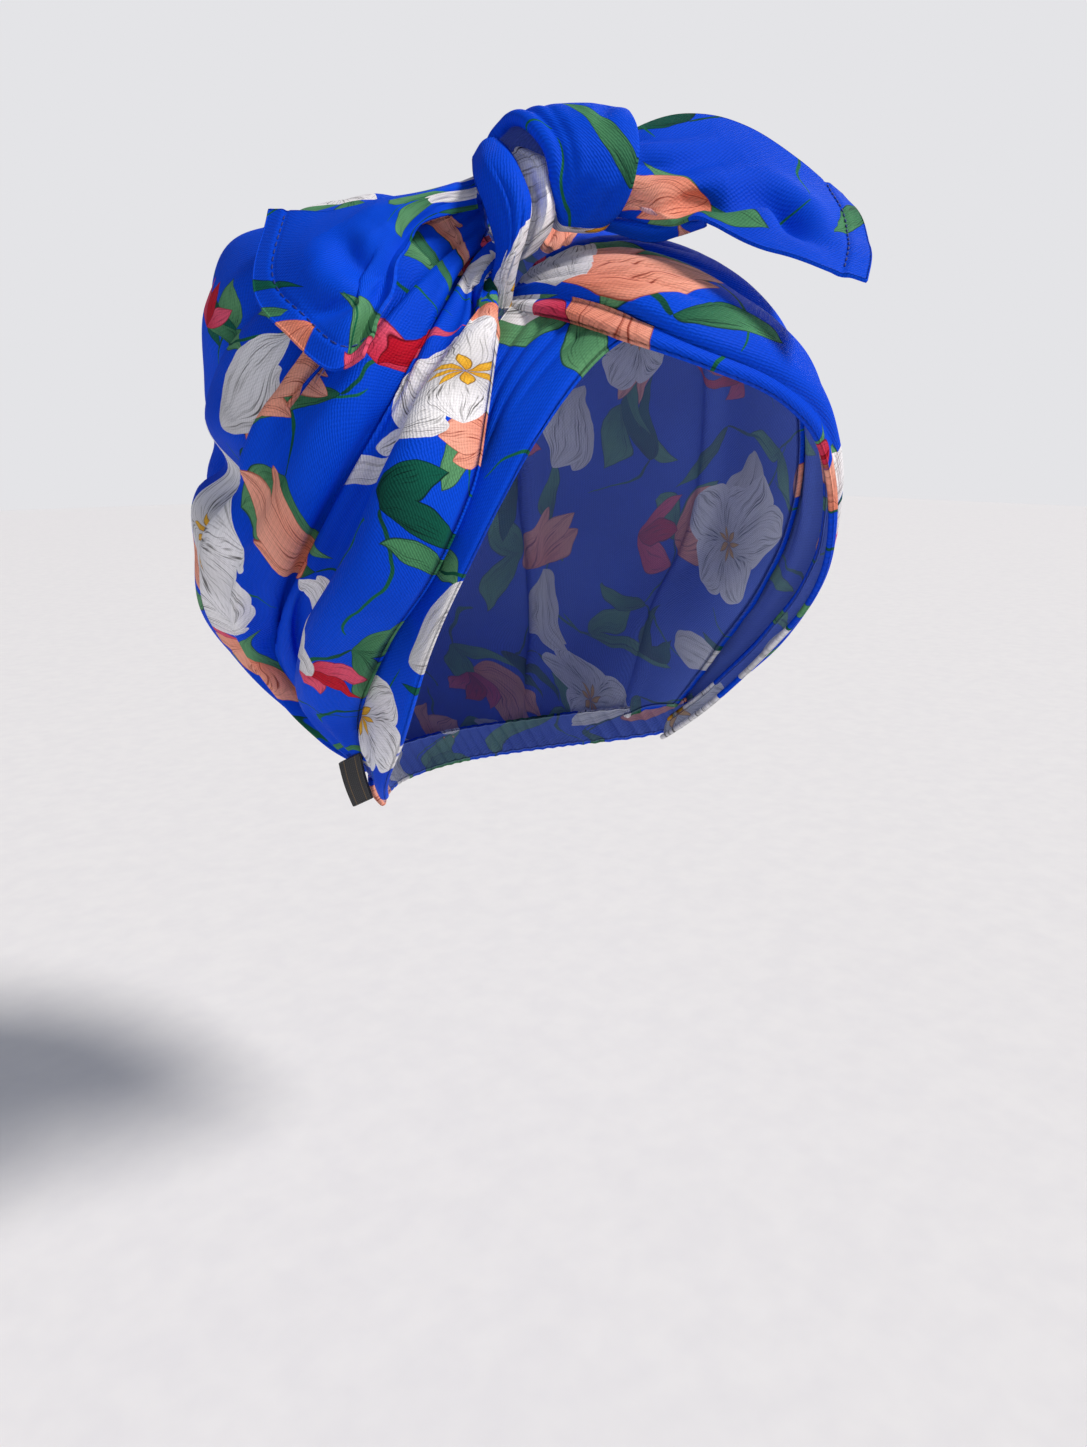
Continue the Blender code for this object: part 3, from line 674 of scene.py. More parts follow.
# Curved dents: depth, half width, places of (row, column)
CROWN_DENTS = [
    (9.0, 7.5, [(.305, .500), (.345, .535), (.400, .580), (.480, .630)]),
    (2.6, 4.0, [(.218, .150), (.205, .260), (.190, .390)]),
    (2.2, 3.2, [(.160, .100), (.145, .220), (.136, .360)]),
    (2.0, 3.0, [(.040, .060), (.055, .180), (.060, .300)]),
    (2.0, 3.0, [(.082, .050), (.085, .150), (.078, .280)]),
    (2.6, 4.0, [(.255, .200), (.262, .320), (.250, .430)]),
    (3.0, 4.5, [(.176, .560), (.150, .700), (.142, .880)]),
    (2.6, 4.0, [(.222, .600), (.196, .740), (.186, .900)]),
    (2.6, 3.0, [(.250, .700), (.240, .820), (.232, .940)]),
    (1.8, 2.6, [(.020, .640), (.016, .780), (.014, .920)]),
    (2.4, 2.6, [(.062, .700), (.046, .840), (.040, .960)]),
    (2.0, 3.4, [(.090, .560), (.076, .740), (.070, .920)]),
    (2.6, 5.0, [(.380, .160), (.420, .300), (.430, .440)]),
    (3.2, 6.0, [(.480, .260), (.520, .440), (.510, .640)]),
    (3.4, 6.5, [(.610, .220), (.650, .420), (.640, .640)]),
    (3.0, 6.0, [(.700, .420), (.670, .600), (.680, .820)]),
    (2.8, 6.0, [(.800, .150), (.830, .360), (.820, .620)]),
    (3.2, 3.4, [(.440, .620), (.430, .780), (.420, .940)]),
    (3.2, 4.0, [(.530, .560), (.540, .740), (.520, .930)]),
    (3.2, 4.0, [(.640, .600), (.620, .780), (.620, .950)]),
    (3.2, 4.0, [(.760, .620), (.790, .780), (.780, .950)]),
]
rng = np.random.default_rng(5)
for spot in np.linspace(0.03, 0.93, 22):
    spot += rng.uniform(-0.012, 0.012)
    CROWN_FOLDS.append((spot, spot + rng.uniform(-.01, .01), rng.uniform(1.2, 2.8),
                        rng.uniform(1.6, 3.0), 0.0, rng.uniform(.16, .46), True))
for spot in np.linspace(0.01, 0.985, 40):
    spot += rng.uniform(-0.009, 0.009)
    CROWN_FOLDS.append((spot, spot, rng.uniform(1.2, 3.0), rng.uniform(1.8, 3.4),
                        rng.uniform(.60, .84), 1.0, True))

crown_surface = over_head(CROWN_ACROSS, CROWN_ALONG, CROWN)
crown_rows, crown_columns = even(crown_surface, 300, 158, [f[0][2][1] for f in CROWN_OVERLAPS])
crown = crown_surface(crown_rows, crown_columns)
crown = press(crown, crown_rows, crown_columns, CROWN_FOLDS)
crown = dent(crown, crown_rows, crown_columns, CROWN_DENTS)
crown = wrinkle(crown, 11, 0.5, 40.0, 120.0)
crown = roll(overlap(crown, crown_rows, crown_columns, CROWN_OVERLAPS), 4.0, 0.0)
crown_wall = CROWN_WALL + LIP_EXTRA * np.exp(-(arc(crown, 0) / LIP_WIDE) ** 2)
hood = cloth("hood", crown, crown_wall, print_place(crown, 20.0, (77.0, 113.0)), crepe, even_out=24)
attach(hood, "root")
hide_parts("crown")

# Bands: three flat folded strips of the same crepe that run from the knot along the face to the
# nape. The left side has two, the upper one wide and creased; their edges are turned under.
BAND_WALL = 1.6
HEM_EXTRA = 0.5  # the same for the turned edges of a band
HEM_WIDE = 2.0
RIGHT_BAND = [
    [(28, 56, 2.9), (40, 51.5, 3), (52.6, 39.6, 3), (59.3, 28.2, 3), (66, 16, 3), (75, 0, 3),
     (88, -21, 3), (115, -39, 3.2)],  # face edge
    [(40, 60, 2.9), (50, 54, 3.6), (59, 43, 4.6), (63.5, 30, 4.8), (70, 16.5, 4.6),
     (80, 0, 4.4), (94, -19, 4.4), (115.8, -37, 4)],
    [(54, 63.5, 2.9), (60, 57, 3.6), (66, 46, 4.8), (68, 32, 5), (74, 16.5, 4.8),
     (86, 0, 4.6), (99, -17, 4.6), (116.4, -35, 4)],
    [(66, 66, 2.9), (70, 59, 3.4), (72, 48, 4), (72.5, 33, 4), (79, 16, 4), (92, 0, 4),
     (104, -16, 4), (121, -33, 3.4)],  # back edge
]
LOWER_ALONG = [0, .09, .19, .31, .42, .54, .70, .86, 1]
LOWER_BAND = [
    [(72, 61, 3.6), (48, 56, 5.4), (33, 51.3, 5.2), (14, 46.5, 4.2), (-4, 42.7, 3.2),
     (-22, 36.5, 3), (-48, 15, 3), (-82, -14, 3), (-114, -40, 3)],  # face edge
    [(72, 63, 3.8), (47.5, 59.5, 5.6), (33, 55, 5.6), (14.5, 49.7, 4.6), (-3.5, 45.8, 4),
     (-23, 39.5, 3.6), (-49.5, 17.7, 3.4), (-83, -11, 3.4), (-114, -37, 3.2)],
    [(72, 65, 3.6), (47, 63, 5.4), (33, 58.8, 5.2), (15, 53, 4), (-3, 49, 3),
     (-24, 42.5, 2.8), (-51, 20.5, 2.8), (-84, -8, 2.8), (-113.5, -34.5, 2.8)],
]
UPPER_ALONG = [0, .15, .30, .45, .58, .79, 1]
UPPER_ACROSS = [0, .12, .35, .62, .8, 1]
UPPER_BAND = [
    [(73, 63, 5.2), (41, 57.3, 8), (20, 49.3, 7.2), (-2, 44.3, 6.2), (-24, 38, 6.2),
     (-64, 5, 6), (-114, -36.5, 5.8)],  # lower edge
    [(73, 64, 5.6), (40.5, 59.5, 9), (17.5, 52, 8.6), (-3, 47, 7.4), (-26, 40.5, 7),
     (-65, 7, 6.8), (-114, -35.5, 6.4)],
    [(73, 66, 5.6), (37, 65.5, 8), (12, 58, 8.8), (-6, 53, 8), (-32, 45.5, 7.6),
     (-68, 11.5, 7.2), (-113.5, -33, 6.6)],
    [(72.5, 68.5, 5.2), (33, 72, 6), (2, 65, 6.2), (-12, 60, 6.2), (-40, 51, 6.4),
     (-72, 16.5, 6.6), (-113, -30, 6.4)],  # crease
    [(72, 70.5, 5.0), (30, 76, 5.8), (-6, 69.5, 6.8), (-17, 65, 7.2), (-46, 54.5, 7.2),
     (-75, 20, 7), (-112.5, -28, 6.6)],
    [(71.5, 72.5, 4.6), (25, 80, 5.2), (-16, 74, 5.6), (-24, 70, 5.8), (-54, 58, 5.8),
     (-79, 24, 5.8), (-112, -26, 5.8)],  # upper edge
]
# One row for each band: name, node, surface, rows, columns, rolled edges, folds, turn of the print
# and its shift, flat size
BANDS = [
    ("right_face_band", "right_band", over_head([0, .33, .67, 1], CROWN_ALONG, RIGHT_BAND), 56, 200,
     (1.6, 0.0), [
        (.22, .30, 1.4, 1.8, 0.0, .30, True), (.40, .46, 1.8, 2.2, 0.0, .42, True),
        (.62, .55, 1.8, 2.4, 0.0, .45, True), (.80, .70, 1.4, 2.0, 0.0, .32, True),
        (.45, .50, 0.9, 5.0, .40, 1.0, False), (.75, .70, 0.9, 4.0, .70, 1.0, False)],
     65.0, (10.0, 130.0), (0.024, 0.215)),
    ("left_face_band", "left_band_lower", over_head([0, .5, 1], LOWER_ALONG, LOWER_BAND), 48, 220,
     (1.8, 1.5), [
        (.45, .50, 1.0, 2.0, 0.0, .30, True), (.50, .50, 0.5, 4.0, .50, 1.0, False)],
     50.0, (90.0, 20.0), (0.015, 0.270)),
    ("left_wide_band", "left_band_upper", over_head(UPPER_ACROSS, UPPER_ALONG, UPPER_BAND), 90, 240,
     (3.4, 3.0), [
        (.62, .62, 2.2, 2.6, .18, .95, True), (.18, .30, 2.0, 2.2, 0.0, .38, True),
        (.34, .40, 1.8, 2.0, 0.0, .30, True), (.48, .52, 1.6, 1.8, 0.0, .26, True),
        (.66, .66, 1.8, 2.0, 0.0, .34, True), (.82, .78, 1.6, 2.0, 0.0, .30, True),
        (.30, .25, 0.9, 4.0, .45, .95, False), (.84, .80, 0.8, 4.0, .35, .90, False)],
     72.0, (30.0, 215.0), (0.042, 0.285)),
]
for name, node, surface, rows, columns, edges, folds, turn, shift, flat in BANDS:
    r, c = even(surface, rows, columns)
    grid = roll(press(surface(r, c), r, c, folds), *edges)
    grid = wrinkle(grid, len(name), 0.22, 14.0, 50.0)
    edge = np.minimum(arc(grid, 0), arc(grid, 0)[-1:] - arc(grid, 0))
    band = cloth(name, grid, BAND_WALL + HEM_EXTRA * np.exp(-(edge / HEM_WIDE) ** 2),
                 print_place(grid, turn, shift), crepe)
    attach(band, "root")
    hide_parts(node)

# Knot: the two tail ends of the panel tied once. A wide wrap goes round as a barrel with a rolled
# left edge, a loop rolls into it from the hood, and a pale strip of the print shows between them.
KNOT = np.array([-33.2, -21.7, 125.1])
KNOT_AXES = np.array([[0.780, -0.625, 0.0], [0.162, 0.202, 0.966], [0.604, 0.754, -0.259]])
COLLAR_RIMS = [
    (0, 0, 13), (.125, -1, 17.5), (.25, -2.5, 19.5), (.375, -8.8, 17.5), (.5, -15, 12.5),
    (.6, -19, 11), (.7, -12, 10), (.8, -6, 10), (.9, -2, 11), (1, 0, 13),
]
COLLAR_WIDTH = [0, .06, .14, .35, .65, .9, 1]
COLLAR_ROUND = [.91, .94, .96, .985, 1, .975, .94]
COLLAR_SET = [0, .04, .11, .34, .66, .91, 1]
COLLAR_UP = 16.2
COLLAR_DOWN = 15.0
COLLAR_BACK = 14.0
COLLAR_EXTRA = 2.2  # the same for the rolled left edge of the wrap
COLLAR_WIDE = 2.6


def at_knot(rows_at, stations, table):
    """Surface from a table of (across, up, back) in the frame of the knot."""
    def surface(rows, columns):
        return KNOT + table_grid(rows_at, stations, table, rows, columns) @ KNOT_AXES
    return surface


def collar_surface(turn, width):
    """Barrel point: across, up = 0.7 - a cos t, back = -b sin t, with radii a and b."""
    rims = blend([r[0] for r in COLLAR_RIMS], np.array(COLLAR_RIMS)[:, 1:], turn)
    bulge = blend(COLLAR_WIDTH, COLLAR_ROUND, width)[None, :]
    place = blend(COLLAR_WIDTH, COLLAR_SET, width)[None, :]
    across = rims[:, 0:1] + (rims[:, 1:2] - rims[:, 0:1]) * place
    tall = np.where(np.cos(2 * np.pi * turn) > 0, COLLAR_DOWN, COLLAR_UP)[:, None]
    up = tall * bulge * -np.cos(2 * np.pi * turn)[:, None] + 0.7
    back = COLLAR_BACK * bulge * -np.sin(2 * np.pi * turn)[:, None]
    return KNOT + np.stack([across, up, back], -1) @ KNOT_AXES


turn = np.linspace(0, 1, 181)[:-1]
width = np.linspace(0, 1, 60)
collar = collar_surface(turn, width)
collar_wall = BAND_WALL + COLLAR_EXTRA * np.exp(-(arc(collar, 1) / COLLAR_WIDE) ** 2)
collar = dent(collar, turn, width, [
    (1.5, 1.5, [(.06, .17), (.18, .14), (.32, .13), (.46, .15), (.60, .22)]),
    (0.9, 1.3, [(.10, .30), (.22, .25), (.36, .25), (.48, .32)]),
    (1.8, 1.8, [(.030, .16), (.075, .34), (.120, .58)]),
    (1.3, 1.4, [(.070, .18), (.125, .32), (.170, .46)]),
    (1.2, 1.8, [(.040, .60), (.100, .78), (.190, .92)]),
    (1.2, 2.4, [(.300, .62), (.380, .76), (.430, .92)]),
], KNOT, ring=True)
collar = wrinkle(collar, 3, 0.25, 16.0, 30.0, KNOT, ring=True)
wrap = cloth("knot_wrap", collar, collar_wall, print_place(collar, 10.0, (261.0, 199.0), ring=True),
             crepe, KNOT, ring=True, rim=5)
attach(wrap, "root")
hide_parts("knot_collar")

LOOP_ALONG = [0, .13, .37, .60, .82, 1]
STRAND_ALONG = [0, .3, .55, .8, 1]
STRAND_ACROSS = [0, .35, .7, 1]
FRONT_LOOP = [
    [(-20.5, -34, 3), (-18.2, -28, -3.2), (-17, -22, -6.3), (-19.5, -13, -7.3), (-22.5, -4, -6.8),
     (-23.5, 5.5, 1.2)],
    [(-18.5, -36, 1), (-16.2, -30.5, -7.4), (-13.5, -22.5, -12.3), (-14.5, -13.5, -14.3),
     (-19, -2.5, -11.3), (-20.5, 8.5, -1.3)],
    [(-15, -36, 1), (-13.2, -30.5, -7.4), (-9, -21.5, -11.8), (-8.5, -12.5, -13.8), (-13, -1, -10.8),
     (-17, 9, -1.8)],
    [(-13, -34, 3), (-11.4, -27.5, -3.2), (-8.5, -18.5, -6.3), (-7.5, -11, -8.3), (-11, -0.5, -6.3),
     (-14, 8.5, 1.7)],
]
INNER_STRAND = [
    [(-15, -23.5, -1), (-12, -17.5, -3), (-11, -10.5, -5), (-13.5, -0.5, -3), (-16.5, 3.5, 5.5)],
    [(-12.5, -23.5, -1), (-8.5, -19, -4), (-7, -10.5, -6), (-10, 1, -4.5), (-14.5, 6, 4.5)],
    [(-9, -23, -2), (-5, -18.5, -7), (-3.5, -11.5, -10), (-6, 0.5, -7), (-12, 9.5, 3.5)],
    [(-6, -20, 0), (-2, -15.5, -4), (-1.5, -9, -6), (-3, 1.5, -4), (-9, 10.5, 6)],
]
TUCK = [
    [(11.5, -7.5, 6), (24, -8, 4), (32, -7.5, 5), (40, -8.5, 7)],
    [(11.5, -11.2, 1), (24, -14, -0.9), (31, -13, 0.5), (39.5, -9.6, 5)],
    [(11.5, -11.8, 6), (24, -16, 4), (32, -14, 5), (40, -10.4, 7)],
]
pale = printed_crepe("crepe_printed_white", ("#E6E4E8", "#F4F3F6"), flowers=False)
# One row for each strand: name, node, surface, rows, columns, wall, folds, material, slot, turn of
# the print and its shift, flat size
STRANDS = [
    ("knot_loop", "knot_front_loop", at_knot(STRAND_ACROSS, LOOP_ALONG, FRONT_LOOP), 70, 100, 1.4, [
        (.40, .42, 1.5, 1.5, 0.0, .86, True), (.64, .58, 1.3, 1.3, 0.0, .66, True),
        (.22, .28, 1.0, 1.6, 0.0, .90, True), (.80, .76, 0.9, 1.2, 0.0, .80, True)],
     crepe, "cloth", 80.0, (522.0, -308.0), (0.022, 0.042)),
    ("knot_strand", "knot_inner_strand", at_knot(STRAND_ACROSS, STRAND_ALONG, INNER_STRAND), 40, 70,
     1.2, [(.35, .40, 0.8, 1.0, 0.0, .80, True), (.65, .6, 0.6, 1.0, .2, 1.0, True)], pale,
     "pale_cloth", 80.0, (12.0, 8.0), (0.016, 0.036)),
    ("knot_tuck_fold", "knot_tuck", at_knot([0, .5, 1], [0, .33, .66, 1], TUCK), 36, 60, 1.2, [
        (.5, .5, 0.8, 1.2, 0.0, .60, True)], crepe, "cloth", 20.0, (210.0, 55.0), (0.016, 0.022)),
]
for name, node, surface, rows, columns, wall, folds, material, slot, tilt, shift, flat in STRANDS:
    r, c = even(surface, rows, columns)
    grid = surface(r, c)
    core = 0.5 * (grid[:1] + grid[-1:])
    grid = press(grid, r, c, folds, core)
    thin = wall * (0.2 + 0.8 * smooth(2.0, 14.0, arc(grid, 1)))
    strand = cloth(name, grid, thin, print_place(grid, tilt, shift), material, core, even_out=8)
    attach(strand, "root")
    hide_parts(node)

# Tails: the two hemmed ends that come out of the knot, the left one over the shoulder of the hood
# and the right one up over the bands. Each end is turned under and stitched 6 mm from its edge.
LEFT_TAIL_ALONG = [0, .2, .45, .75, 1]
LEFT_TAIL_ACROSS = [0, .12, .28, .5, .75, 1]
LEFT_TAIL = [
    [(-21.5, -10, -2.8), (-34.5, -16.5, -9), (-39.5, -27, -14), (-43.5, -42, -22), (-48, -57, -25)],
    [(-21.5, -8.5, -3), (-33.8, -14.8, -8.6), (-41, -25, -12.5), (-46, -41.5, -18.5),
     (-51.5, -58.5, -23)],
    [(-21.5, -7, -3.2), (-33, -13, -9), (-43, -24.5, -16), (-49, -43.5, -24), (-56.5, -59.5, -23)],
    [(-21.5, -4.5, -2.8), (-31.8, -10.5, -9), (-45, -21, -17), (-58.5, -39, -20), (-67.5, -49.5, -18)],
    [(-22, -2, -1.8), (-30.5, -7.5, -7.5), (-45.5, -15.5, -14), (-63.5, -25.5, -15),
     (-78.5, -34.5, -9)],
    [(-22.5, 0.5, 0.2), (-30, -4.5, -3.5), (-45.5, -10, -8), (-62, -11, -3), (-79, -6.5, 5)],
]
RIGHT_TAIL_ALONG = [0, .15, .35, .55, .8, 1]
RIGHT_TAIL_ACROSS = [0, .3, .6, .8, 1]
RIGHT_TAIL = [
    [(13.5, 10.5, 3), (26, 18.5, 6), (39.5, 22, 10), (53, 21, 14), (68.5, 13.5, 18), (81.5, 6, 22)],
    [(13.5, 3, -6), (24, 6.5, -3), (38, 9, 2), (52, 8.5, 6), (66.5, 1.5, 8), (82.5, -4.5, 11)],
    [(13.5, -6, -6.5), (23.5, -7.5, -6.5), (37, -4.5, -4), (50, -4, 0), (64.5, -9.5, -1),
     (82, -16.5, 1)],
    [(13.5, -9.5, -2.8), (25, -13, -7.3), (37, -9, -3), (48.5, -14.5, -8), (62.5, -19.5, -9),
     (80, -25.5, -8)],
    [(14, -9.5, 2.7), (27, -15.5, -4.3), (36, -16, -9), (47.5, -24, -14), (60, -29, -16),
     (76.5, -35, -16)],
]
HEM = 6.0
STITCH = 2.1
STITCH_GAP = 0.8
STITCH_HALF = 0.25  # half width, half height and rise above the cloth
STITCH_HIGH = 0.26
STITCH_RISE = 0.12
# One row for each tail: name, node, surface, rows, columns, wall, dents, place inside it, turn of
# the print and its shift, flat size, area
TAILS = [
    ("tail_left", "left_tail", at_knot(LEFT_TAIL_ACROSS, LEFT_TAIL_ALONG, LEFT_TAIL), 130, 130, 1.0, [
        (4.8, 4.6, [(.200, .700), (.300, .640), (.450, .600), (.640, .610), (.800, .680)]),
        (3.4, 3.6, [(.220, .640), (.330, .710), (.430, .790), (.540, .900)]),
        (2.4, 3.2, [(.280, .660), (.330, .540), (.360, .420)]),
        (2.0, 4.0, [(.480, .360), (.620, .480), (.800, .580)])],
     np.zeros(3), 35.0, (131.0, 489.0), (0.062, 0.062), 0.0032),
    ("tail_right", "right_tail", at_knot(RIGHT_TAIL_ACROSS, RIGHT_TAIL_ALONG, RIGHT_TAIL), 110, 150,
     1.0, [
        (3.0, 3.6, [(.640, .020), (.730, .120), (.770, .260), (.750, .430), (.660, .560)]),
        (4.6, 4.4, [(.760, .330), (.690, .500), (.600, .660), (.650, .750), (.760, .810),
                    (.880, .890)]),
        (2.4, 4.0, [(.340, .020), (.430, .180), (.420, .340), (.300, .520)]),
        (1.6, 3.4, [(.150, .020), (.220, .200), (.140, .420)]),
        (1.8, 5.0, [(.480, .700), (.700, .760), (.960, .660)])],
     KNOT + np.array([40.0, -10.0, 40.0]) @ KNOT_AXES, 8.0, (251.0, 141.0), (0.060, 0.074), 0.0040),
]


def stitching(name, line, way_out, material):
    """Stitches along a line, each a slim pillow: a sphere scaled along the line, across and out.

    A stitch has a point at each end and three rings of six points between them.
    """
    run = arc(line[None], 1)[0]
    starts = np.arange(1.0, run[-1] - STITCH, STITCH + STITCH_GAP)
    a, b, up = (np.stack([np.interp(starts + far, run, curve[:, k]) for k in range(3)], -1)
                for far, curve in ((0, line), (STITCH, line), (STITCH / 2, way_out)))
    mid = 0.5 * (a + b)
    along = 0.5 * (b - a)
    up = unit(up - unit(along) * np.sum(up * unit(along), -1, keepdims=True))
    across = np.cross(unit(along), up)
    rings = [(np.sin(p), np.cos(p) * np.cos(q), np.cos(p) * np.sin(q))
             for p in np.radians([-50, 0, 50]) for q in np.linspace(0, 2 * np.pi, 7)[:-1]]
    shape = np.array([(-1, 0, 0)] + rings + [(1, 0, 0)])[None]
    verts = (mid[:, None] + shape[..., 0:1] * along[:, None]
             + shape[..., 1:2] * STITCH_HALF * across[:, None]
             + (shape[..., 2:3] * STITCH_HIGH + STITCH_RISE) * up[:, None]).reshape(-1, 3)
    faces = []
    for j in range(6):
        k = (j + 1) % 6
        faces += [(0, 1 + k, 1 + j), (19, 13 + j, 13 + k)]
        for s in (1, 7):
            faces += [(j + s, k + s, 6 + k + s), (j + s, 6 + k + s, 6 + j + s)]
    every = (np.array(faces)[None] + (np.arange(len(mid)) * 20)[:, None, None]).reshape(-1, 3)
    if inside_out(verts, every):
        every = every[:, ::-1]
    return mesh_piece(name, verts, every, material)


def thread(name, base, painted_gloss):
    """Polyester sewing thread: two plies twisted, matt, with a painted highlight in a paler colour on each
    turn.
    """
    material, tree = blank(name)
    place = put(tree, "TexCoord", [], out=3)
    twist = put(tree, "TexWave", {"Vector": place, "Scale": 900.0, "Distortion": 1.5},
                out=1, wave_type="BANDS", bands_direction="DIAGONAL")
    # Each turn of the twist is painted paler as a highlight
    colour = put(tree, "Mix", {0: twist, 6: linear(base), 7: linear(painted_gloss)}, out=2, data_type="RGBA")
    bump = put(tree, "Bump", {"Strength": 0.4, "Distance": 0.0001, "Height": twist})
    shader = put(tree, "BsdfPrincipled", {"Base Color": colour, "Roughness": 0.5, "Normal": bump})
    put(tree, "OutputMaterial", [shader])
    return material


TAIL_GATHERS = [(spot, spot + .04 * (-1) ** k, 0.8, 1.3, 0.0, .14 + .05 * (k % 3), True)
                for k, spot in enumerate((.14, .27, .38, .52, .64, .77, .88))]
# The second colour is the painted highlight on the thread's turns
navy_thread = thread("thread_navy", "#0A1E5C", "#1B3C9A")
for name, node, surface, rows, columns, wall, folds, core, tilt, shift, flat, area in TAILS:
    r, c = even(surface, rows, columns)
    grid = dent(surface(r, c), r, c, folds, core)
    grid = press(grid, r, c, TAIL_GATHERS, core)
    grid = wrinkle(grid, len(name), 0.30, 18.0, 34.0, core)
    to_end = arc(grid, 1)[:, -1:] - arc(grid, 1)
    hem = 0.55 * smooth(HEM + 0.8, HEM - 0.4, to_end) - 0.45 * np.exp(-((to_end - HEM) / 0.7) ** 2)
    grid = grid + hem[..., None] * normals(grid, core)
    thin = wall * (0.25 + 0.75 * smooth(6.0, 28.0, arc(grid, 1)))
    tail = cloth(name, grid, thin, print_place(grid, tilt, shift, 0.8), crepe, core, even_out=10)
    line, way = (np.array([[np.interp(HEM, to_end[i, ::-1], values[i, ::-1, k]) for k in range(3)]
                           for i in range(2, len(r) - 2)]) for values in (grid, normals(grid, core)))
    seam = stitching(name + "_stitches", line, way, navy_thread)
    for piece in (tail, seam):
        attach(piece, "root")
    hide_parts(node)

# Nape casing: a doubled strip with an elastic drawn through it, so its cloth stands in small
# upright ruches. The hem of the hood is sewn into its upper edge.
CASING = [
    [(117.8, -40, 4), (150, -41, 4.2), (180, -41, 4.2), (212, -41, 4.2), (251, -36.5, 3.2)],
    [(118.8, -34.5, 4), (150, -34, 4.2), (180, -34, 4.2), (214, -33.6, 4.2), (251, -29.5, 3)],
]
RUCHE = 5.2
casing_surface = over_head([0, 1], [0, .25, .5, .75, 1], CASING)
r, c = even(casing_surface, 26, 420)
grid = casing_surface(r, c)
run = arc(grid, 1)
phase = np.pi * run / RUCHE + 1.3 * np.sin(run / 17.0) + 0.9 * np.sin(run / 7.3 + 1.0)
up = np.linspace(0, 1, 26)[:, None]
puff = 1.5 * np.abs(np.sin(phase)) ** 0.8 * np.sin(np.pi * (0.12 + 0.76 * up)) - 0.5
grid = grid + puff[..., None] * normals(grid)
casing = cloth("elastic_casing", grid, 1.6, print_place(grid, 85.0, (60.0, 400.0)), crepe)
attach(casing, "root")
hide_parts("nape_casing")

# Label: a short loop of black woven tape sewn in at the end of the lip, left plain but for two
# woven border lines.
LABEL_CORNERS = np.array([
    [[-76.4, 38.3, -45.1], [-73.0, 36.5, -59.9]],
    [[-73.8, 29.2, -40.0], [-70.8, 28.0, -55.2]],
])


def woven_tape(name):
    """Damask label tape: fine satin ribs across, each with a painted highlight on its crown and painted
    shade between, two thin paler border lines, soft matt gloss.
    """
    material, tree = blank(name)
    uv = put(tree, "UVMap", [], uv_map="print")
    mm = put(tree, "VectorMath", {0: uv, 3: 1000.0}, "SCALE")
    u, v = (put(tree, "SeparateXYZ", [mm], out=k) for k in (0, 1))
    rib, yarn = (put(tree, "Math", [put(tree, "Math", [way, pace], "MULTIPLY")], "SINE")
                 for way, pace in ((v, 9.0), (u, 7.0)))
    weave = put(tree, "Math", [yarn, 0.5, rib], "MULTIPLY_ADD")
    side = put(tree, "Math", [u], "ABSOLUTE")
    gap = put(tree, "Math", [side, 2.9], "SUBTRACT")
    gap = put(tree, "Math", [gap], "ABSOLUTE")
    border = put(tree, "MapRange", [gap, 0.12, 0.3, 0.5, 0.0])
    # Painted highlight and shade on each satin rib, following the weave's height
    shade = put(tree, "MapRange", [weave, -1.5, 1.5, 0.0, 1.0])
    colour = put(tree, "Mix", {0: shade, 6: linear("#0B0B0D"), 7: linear("#1B1B1F")}, out=2,
                 data_type="RGBA")
    colour = put(tree, "Mix", {0: border, 6: colour, 7: linear("#8A6A34")}, out=2, data_type="RGBA")
    bump = put(tree, "Bump", {"Strength": 0.4, "Distance": 0.00012, "Height": weave})
    shader = put(tree, "BsdfPrincipled", {"Base Color": colour, "Roughness": 0.55, "Normal": bump,
                                          "Sheen Weight": 0.1})
    put(tree, "OutputMaterial", [shader])
    return material


def label_surface(rows, columns):
    """Bilinear patch between four corners, bowed out by 0.5 mm along its length."""
    a = rows[:, None, None]
    b = columns[None, :, None]
    c = LABEL_CORNERS
    flat = (c[0, 0] * (1 - a) * (1 - b) + c[0, 1] * (1 - a) * b + c[1, 0] * a * (1 - b)
            + c[1, 1] * a * b)
    return flat + 0.5 * np.sin(np.pi * b) * np.array([-1.0, 0.0, 0.0])


grid = label_surface(np.linspace(0, 1, 24), np.linspace(0, 1, 48))
tape = woven_tape("label_tape_black")
label = cloth("label_tab", grid, 0.9, print_place(grid, 0.0, (0.0, 0.0)), tape)
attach(label, "root")
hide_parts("label")

# Floor, light and camera: a plain pale floor, soft light from the right and front with a weak
# fill from the left, and a camera a little above the brow that looks down.
FLOOR = -290.0
HALF_FLOOR = 6000.0


def plain(name, base, rough):
    """Matt paint, the same all over but for a faint grain."""
    material, tree = blank(name)
    place = put(tree, "TexCoord", [], out=3)
    grain = put(tree, "TexNoise", {"Vector": place, "Scale": 60.0})
    tone = put(tree, "MapRange", [grain, 0.3, 0.7, 0.0, 1.0])
    colour = put(tree, "Mix", {0: tone, 6: linear(base), 7: linear("#EAEAEC")}, out=2, data_type="RGBA")
    shader = put(tree, "BsdfPrincipled", {"Base Color": colour, "Roughness": rough})
    put(tree, "OutputMaterial", [shader])
    return material


corners = np.array([(-1, -1, 0), (1, -1, 0), (1, 1, 0), (-1, 1, 0)]) * HALF_FLOOR + (0, 0, FLOOR)
floor = mesh_piece("floor", corners, np.array([[0, 1, 2, 3]]), plain("floor_paint", "#E6E6E9", 0.9))

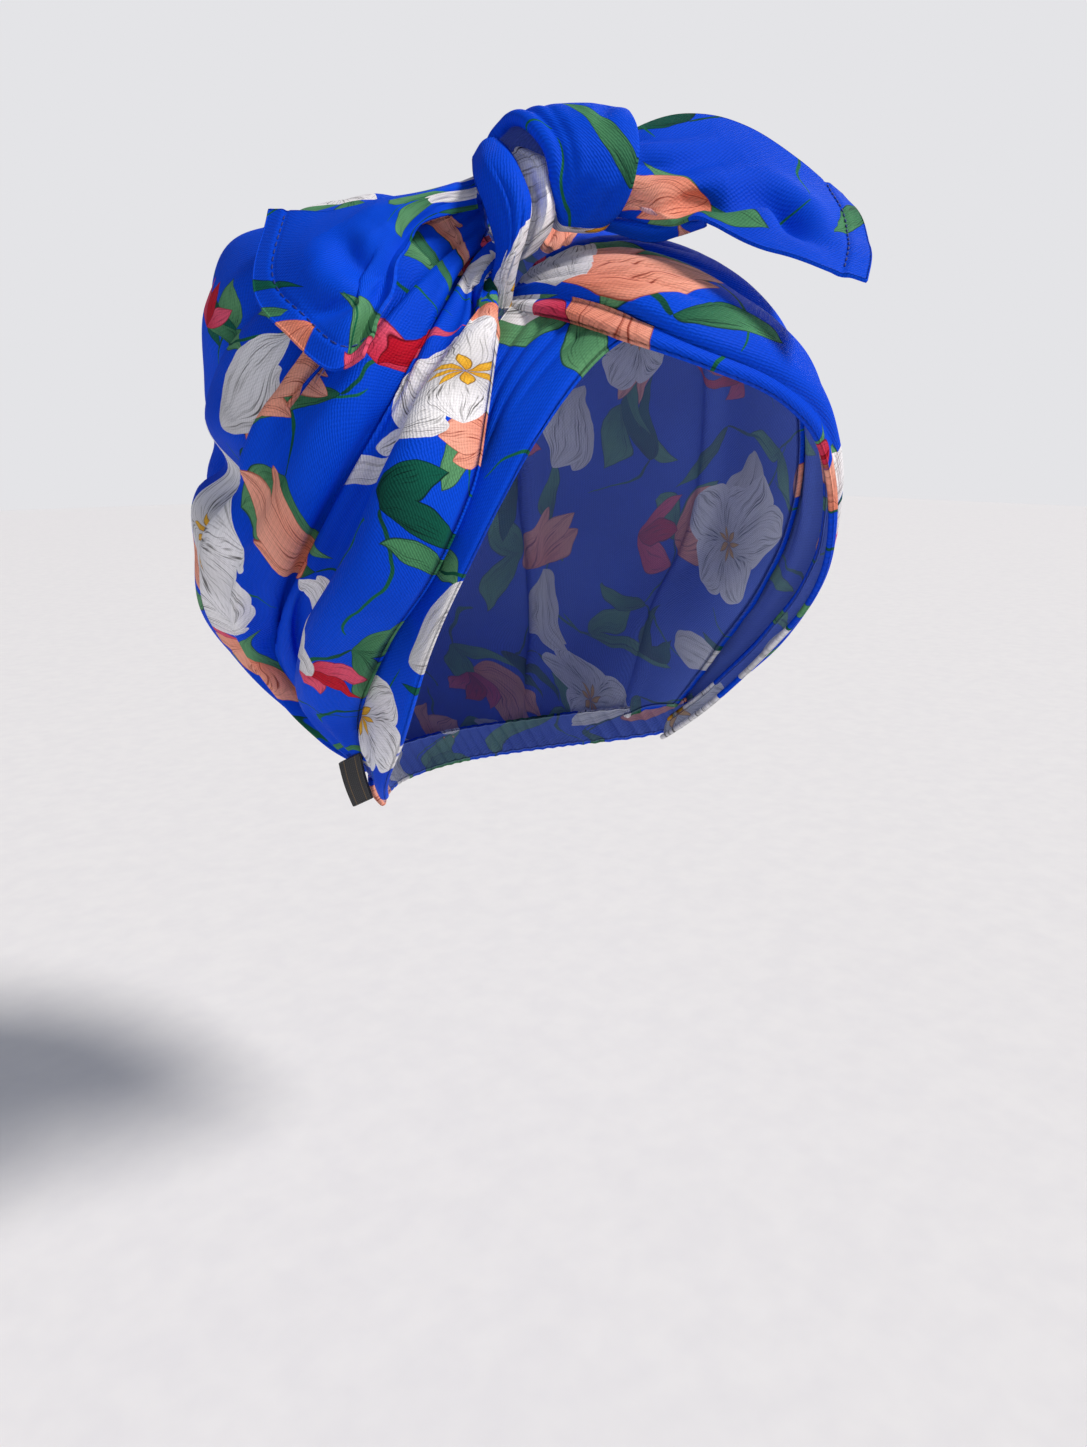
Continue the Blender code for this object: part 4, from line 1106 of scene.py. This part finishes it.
# The room is pale where it is seen, and dimmer where it only lights the cloth
world = bpy.data.worlds.new("studio")
world.use_nodes = True
room = world.node_tree
room.nodes.clear()
seen = put(room, "LightPath", [])
dim = put(room, "Background", [linear("#DDE2F2"), 0.22])
pale_room = put(room, "Background", [linear("#E4E4E7"), 1.0])
both = put(room, "MixShader", [seen, dim, pale_room])
put(room, "OutputWorld", [both])
bpy.context.scene.world = world
bpy.context.scene.view_settings.view_transform = "Standard"

EYE = np.array([-0.22819, -0.257946, 0.056])
FOCAL = 1044.0  # focal length and height of the picture in its pixels
PICTURE_HIGH = 1447.0
PITCH = np.radians(15.0)
heading = np.radians(40.0) - np.arctan(23.5 / FOCAL)  # turned 23.5 pixels away from the middle
level = np.array([np.sin(heading), np.cos(heading), 0.0])
right = np.array([level[1], -level[0], 0.0])
ahead = np.cos(PITCH) * level - np.array([0.0, 0.0, np.sin(PITCH)])
above = np.cross(right, ahead)


def facing(place, away, up):
    """Matrix at a place whose -Z looks away and whose Y leans to up."""
    z = -unit(away)
    x = unit(np.cross(up, z))
    y = np.cross(z, x)
    return Matrix([[x[k], y[k], z[k], place[k]] for k in range(3)] + [[0, 0, 0, 1]])


# One row for each light, all far off and soft: name, degrees right of the camera, height in
# degrees, strength, width in degrees, colour
for name, side, high, power, wide, tint in (
        ("key", 66.0, 44.0, 3.2, 12.0, "#FFF9F2"),
        ("fill", -50.0, 20.0, 0.35, 60.0, "#E8EEFF"),
        ("behind", 160.0, 35.0, 0.55, 40.0, "#FFFFFF")):
    lamp = bpy.data.lights.new(name, "SUN")
    lamp.energy = power
    lamp.angle = np.radians(wide)
    lamp.color = linear(tint)[:3]
    holder = bpy.data.objects.new(name, lamp)
    side, high = np.radians((side, high))
    come = np.cos(high) * (np.sin(side) * right - np.cos(side) * level)
    come[2] = np.sin(high)
    holder.matrix_world = facing(come, -come, np.array([0.0, 0.0, 1.0]))
    bpy.context.scene.collection.objects.link(holder)

lens = bpy.data.cameras.new("camera")
lens.sensor_fit = "AUTO"
lens.sensor_width = 36.0
lens.lens = FOCAL / PICTURE_HIGH * lens.sensor_width
lens.clip_start = 0.01
camera = bpy.data.objects.new("camera", lens)
camera.matrix_world = facing(EYE, ahead, above)
bpy.context.scene.collection.objects.link(camera)
bpy.context.scene.camera = camera
